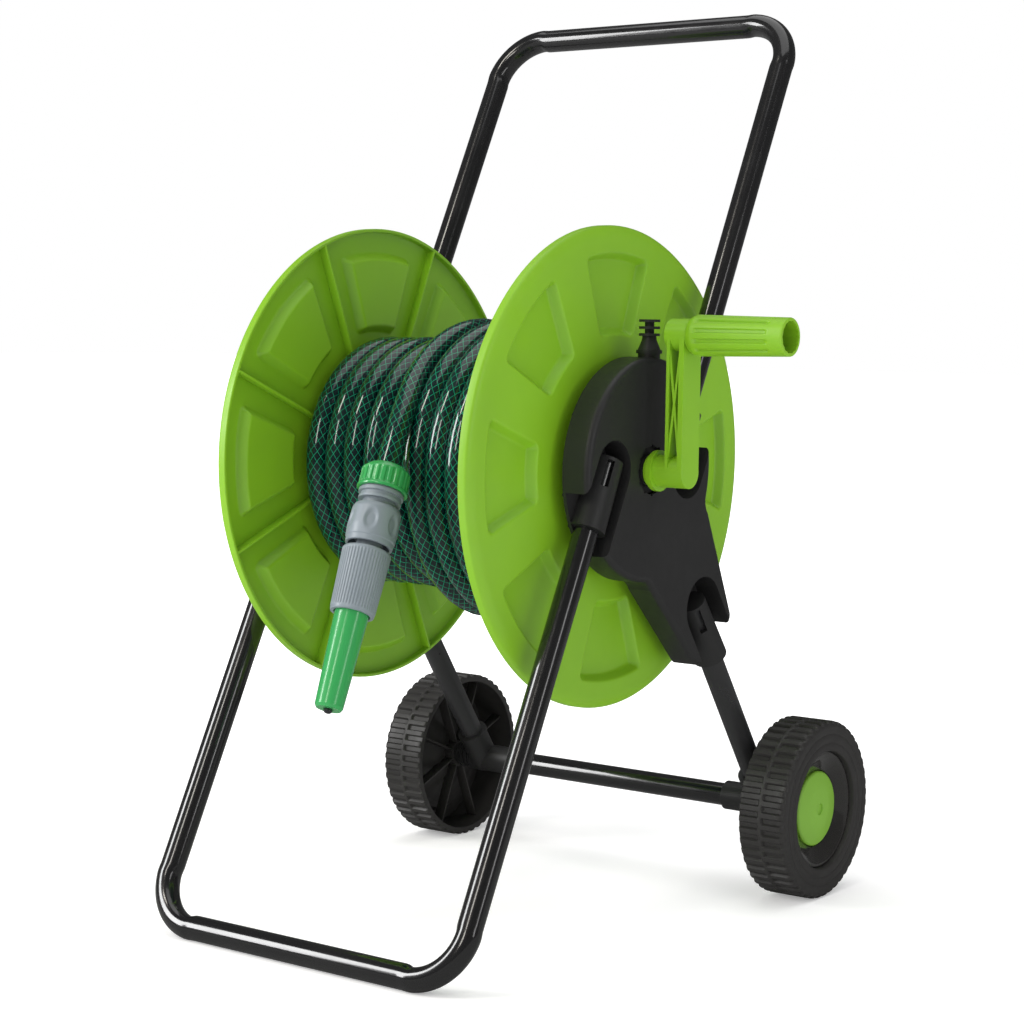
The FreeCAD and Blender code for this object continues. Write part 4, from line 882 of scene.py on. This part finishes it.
def add_floor():
    """White paper that stays white into the distance and is dim in reflections."""
    bpy.ops.mesh.primitive_plane_add(size=FLOOR_SIZE, location=(0, 0, 0))
    floor = bpy.context.object
    floor.name = "floor"
    n = Nodes("floor_paper")
    n.link(n.ramp(n.noise(3.0, 4.0), [(0.2, (0.93, 0.93, 0.93)), (0.8, (0.96, 0.96, 0.96))]),
           n.shader.inputs["Base Color"])
    n.link(n.spread(n.noise(30.0), 0.8, 0.95), n.shader.inputs["Roughness"])
    away = n.add("ShaderNodeVectorMath", operation="LENGTH")
    n.link(n.coordinates(), away.inputs[0])
    n.set(Emission_Color=(1, 1, 1, 1))
    n.link(n.spread(away.outputs["Value"], FLOOR_GLOW, 1.0, *GLOW_RISES),
           n.shader.inputs["Emission Strength"])
    dim = n.add("ShaderNodeBsdfDiffuse")
    dim.inputs["Color"].default_value = (FLOOR_MIRRORED, FLOOR_MIRRORED, FLOOR_MIRRORED, 1)
    mix = n.add("ShaderNodeMixShader")
    n.link(n.add("ShaderNodeLightPath").outputs["Is Glossy Ray"], mix.inputs["Fac"])
    n.link(n.shader.outputs["BSDF"], mix.inputs[1])
    n.link(dim.outputs["BSDF"], mix.inputs[2])
    n.link(mix.outputs["Shader"], n.tree.nodes["Material Output"].inputs["Surface"])
    floor.data.materials.append(n.material)


def add_softbox(name, place, size, watts, colour=(1, 1, 1)):
    """A rectangular light that looks at the cart."""
    data = bpy.data.lights.new(name, "AREA")
    data.shape = "RECTANGLE"
    data.size, data.size_y = size
    data.energy = watts
    data.color = colour
    light = bpy.data.objects.new(name, data)
    bpy.context.scene.collection.objects.link(light)
    light.location = place
    light.rotation_euler = (Vector(LIGHTS_AIM) - Vector(place)).to_track_quat("-Z", "Y").to_euler()


def add_lights():
    """Bright paper behind, even soft light, and narrow softboxes that draw the highlights."""
    world = bpy.data.worlds.new("studio")
    world.use_nodes = True
    tree = world.node_tree
    path = tree.nodes.new("ShaderNodeLightPath")
    shade = tree.nodes["Background"]
    shade.inputs["Color"].default_value = (1, 1, 1, 1)
    shade.inputs["Strength"].default_value = WORLD_LIGHT
    for flag, strength in (("Is Glossy Ray", WORLD_MIRRORED), ("Is Camera Ray", 1.0)):
        other = tree.nodes.new("ShaderNodeBackground")
        other.inputs["Color"].default_value = (1, 1, 1, 1)
        other.inputs["Strength"].default_value = strength
        mix = tree.nodes.new("ShaderNodeMixShader")
        tree.links.new(path.outputs[flag], mix.inputs["Fac"])
        tree.links.new(shade.outputs[0], mix.inputs[1])
        tree.links.new(other.outputs[0], mix.inputs[2])
        shade = mix
    tree.links.new(shade.outputs[0], tree.nodes["World Output"].inputs["Surface"])
    bpy.context.scene.world = world
    add_softbox("key", (-1.9, -1.9, 1.2), (0.75, 1.5), 40)
    add_softbox("front", (0.3, -2.6, 1.5), (0.42, 1.0), 11, (1.0, 0.96, 0.88))
    add_softbox("high", (-0.7, -1.7, 2.2), (0.4, 0.7), 10, (1.0, 0.95, 0.85))
    add_softbox("side", (2.5, -0.3, 1.1), (0.35, 1.5), 6)
    add_softbox("top", (0.1, 0.2, 2.6), (2.8, 2.2), 20)


# ---- build ------------------------------------------------------------------------------------------
add_camera()
dress_cad_nodes()
add_hose(add_connector())
add_hoop("handle_tube", HOOP_OFFSET, SOCKET_START, HANDLE_REACH)
foot_reach = (DRUM.z / MM + HOOP_OFFSET * math.sin(HOOP_LEAN) - TUBE_R) / math.cos(HOOP_LEAN)
add_hoop("foot_tube", -HOOP_OFFSET, -SOCKET_START, -foot_reach)
add_grip()
for side in (1, -1):
    add_wheel_trim(side)
for node in ("crank_arm", "right_side_cover", "left_side_cover", "right_side_frame", "left_side_frame"):
    round_edges(node, 0.55, 2)
for node in ("water_inlet", "right_axle_tee", "left_axle_tee", "left_bearing_plug", "connector_body"):
    round_edges(node, 0.5, 3)
for side in (1, -1):
    add_flange(side)
for side in (1, -1):
    add_wheel(side)
add_floor()
add_lights()
bpy.context.scene.view_settings.view_transform = "Standard"
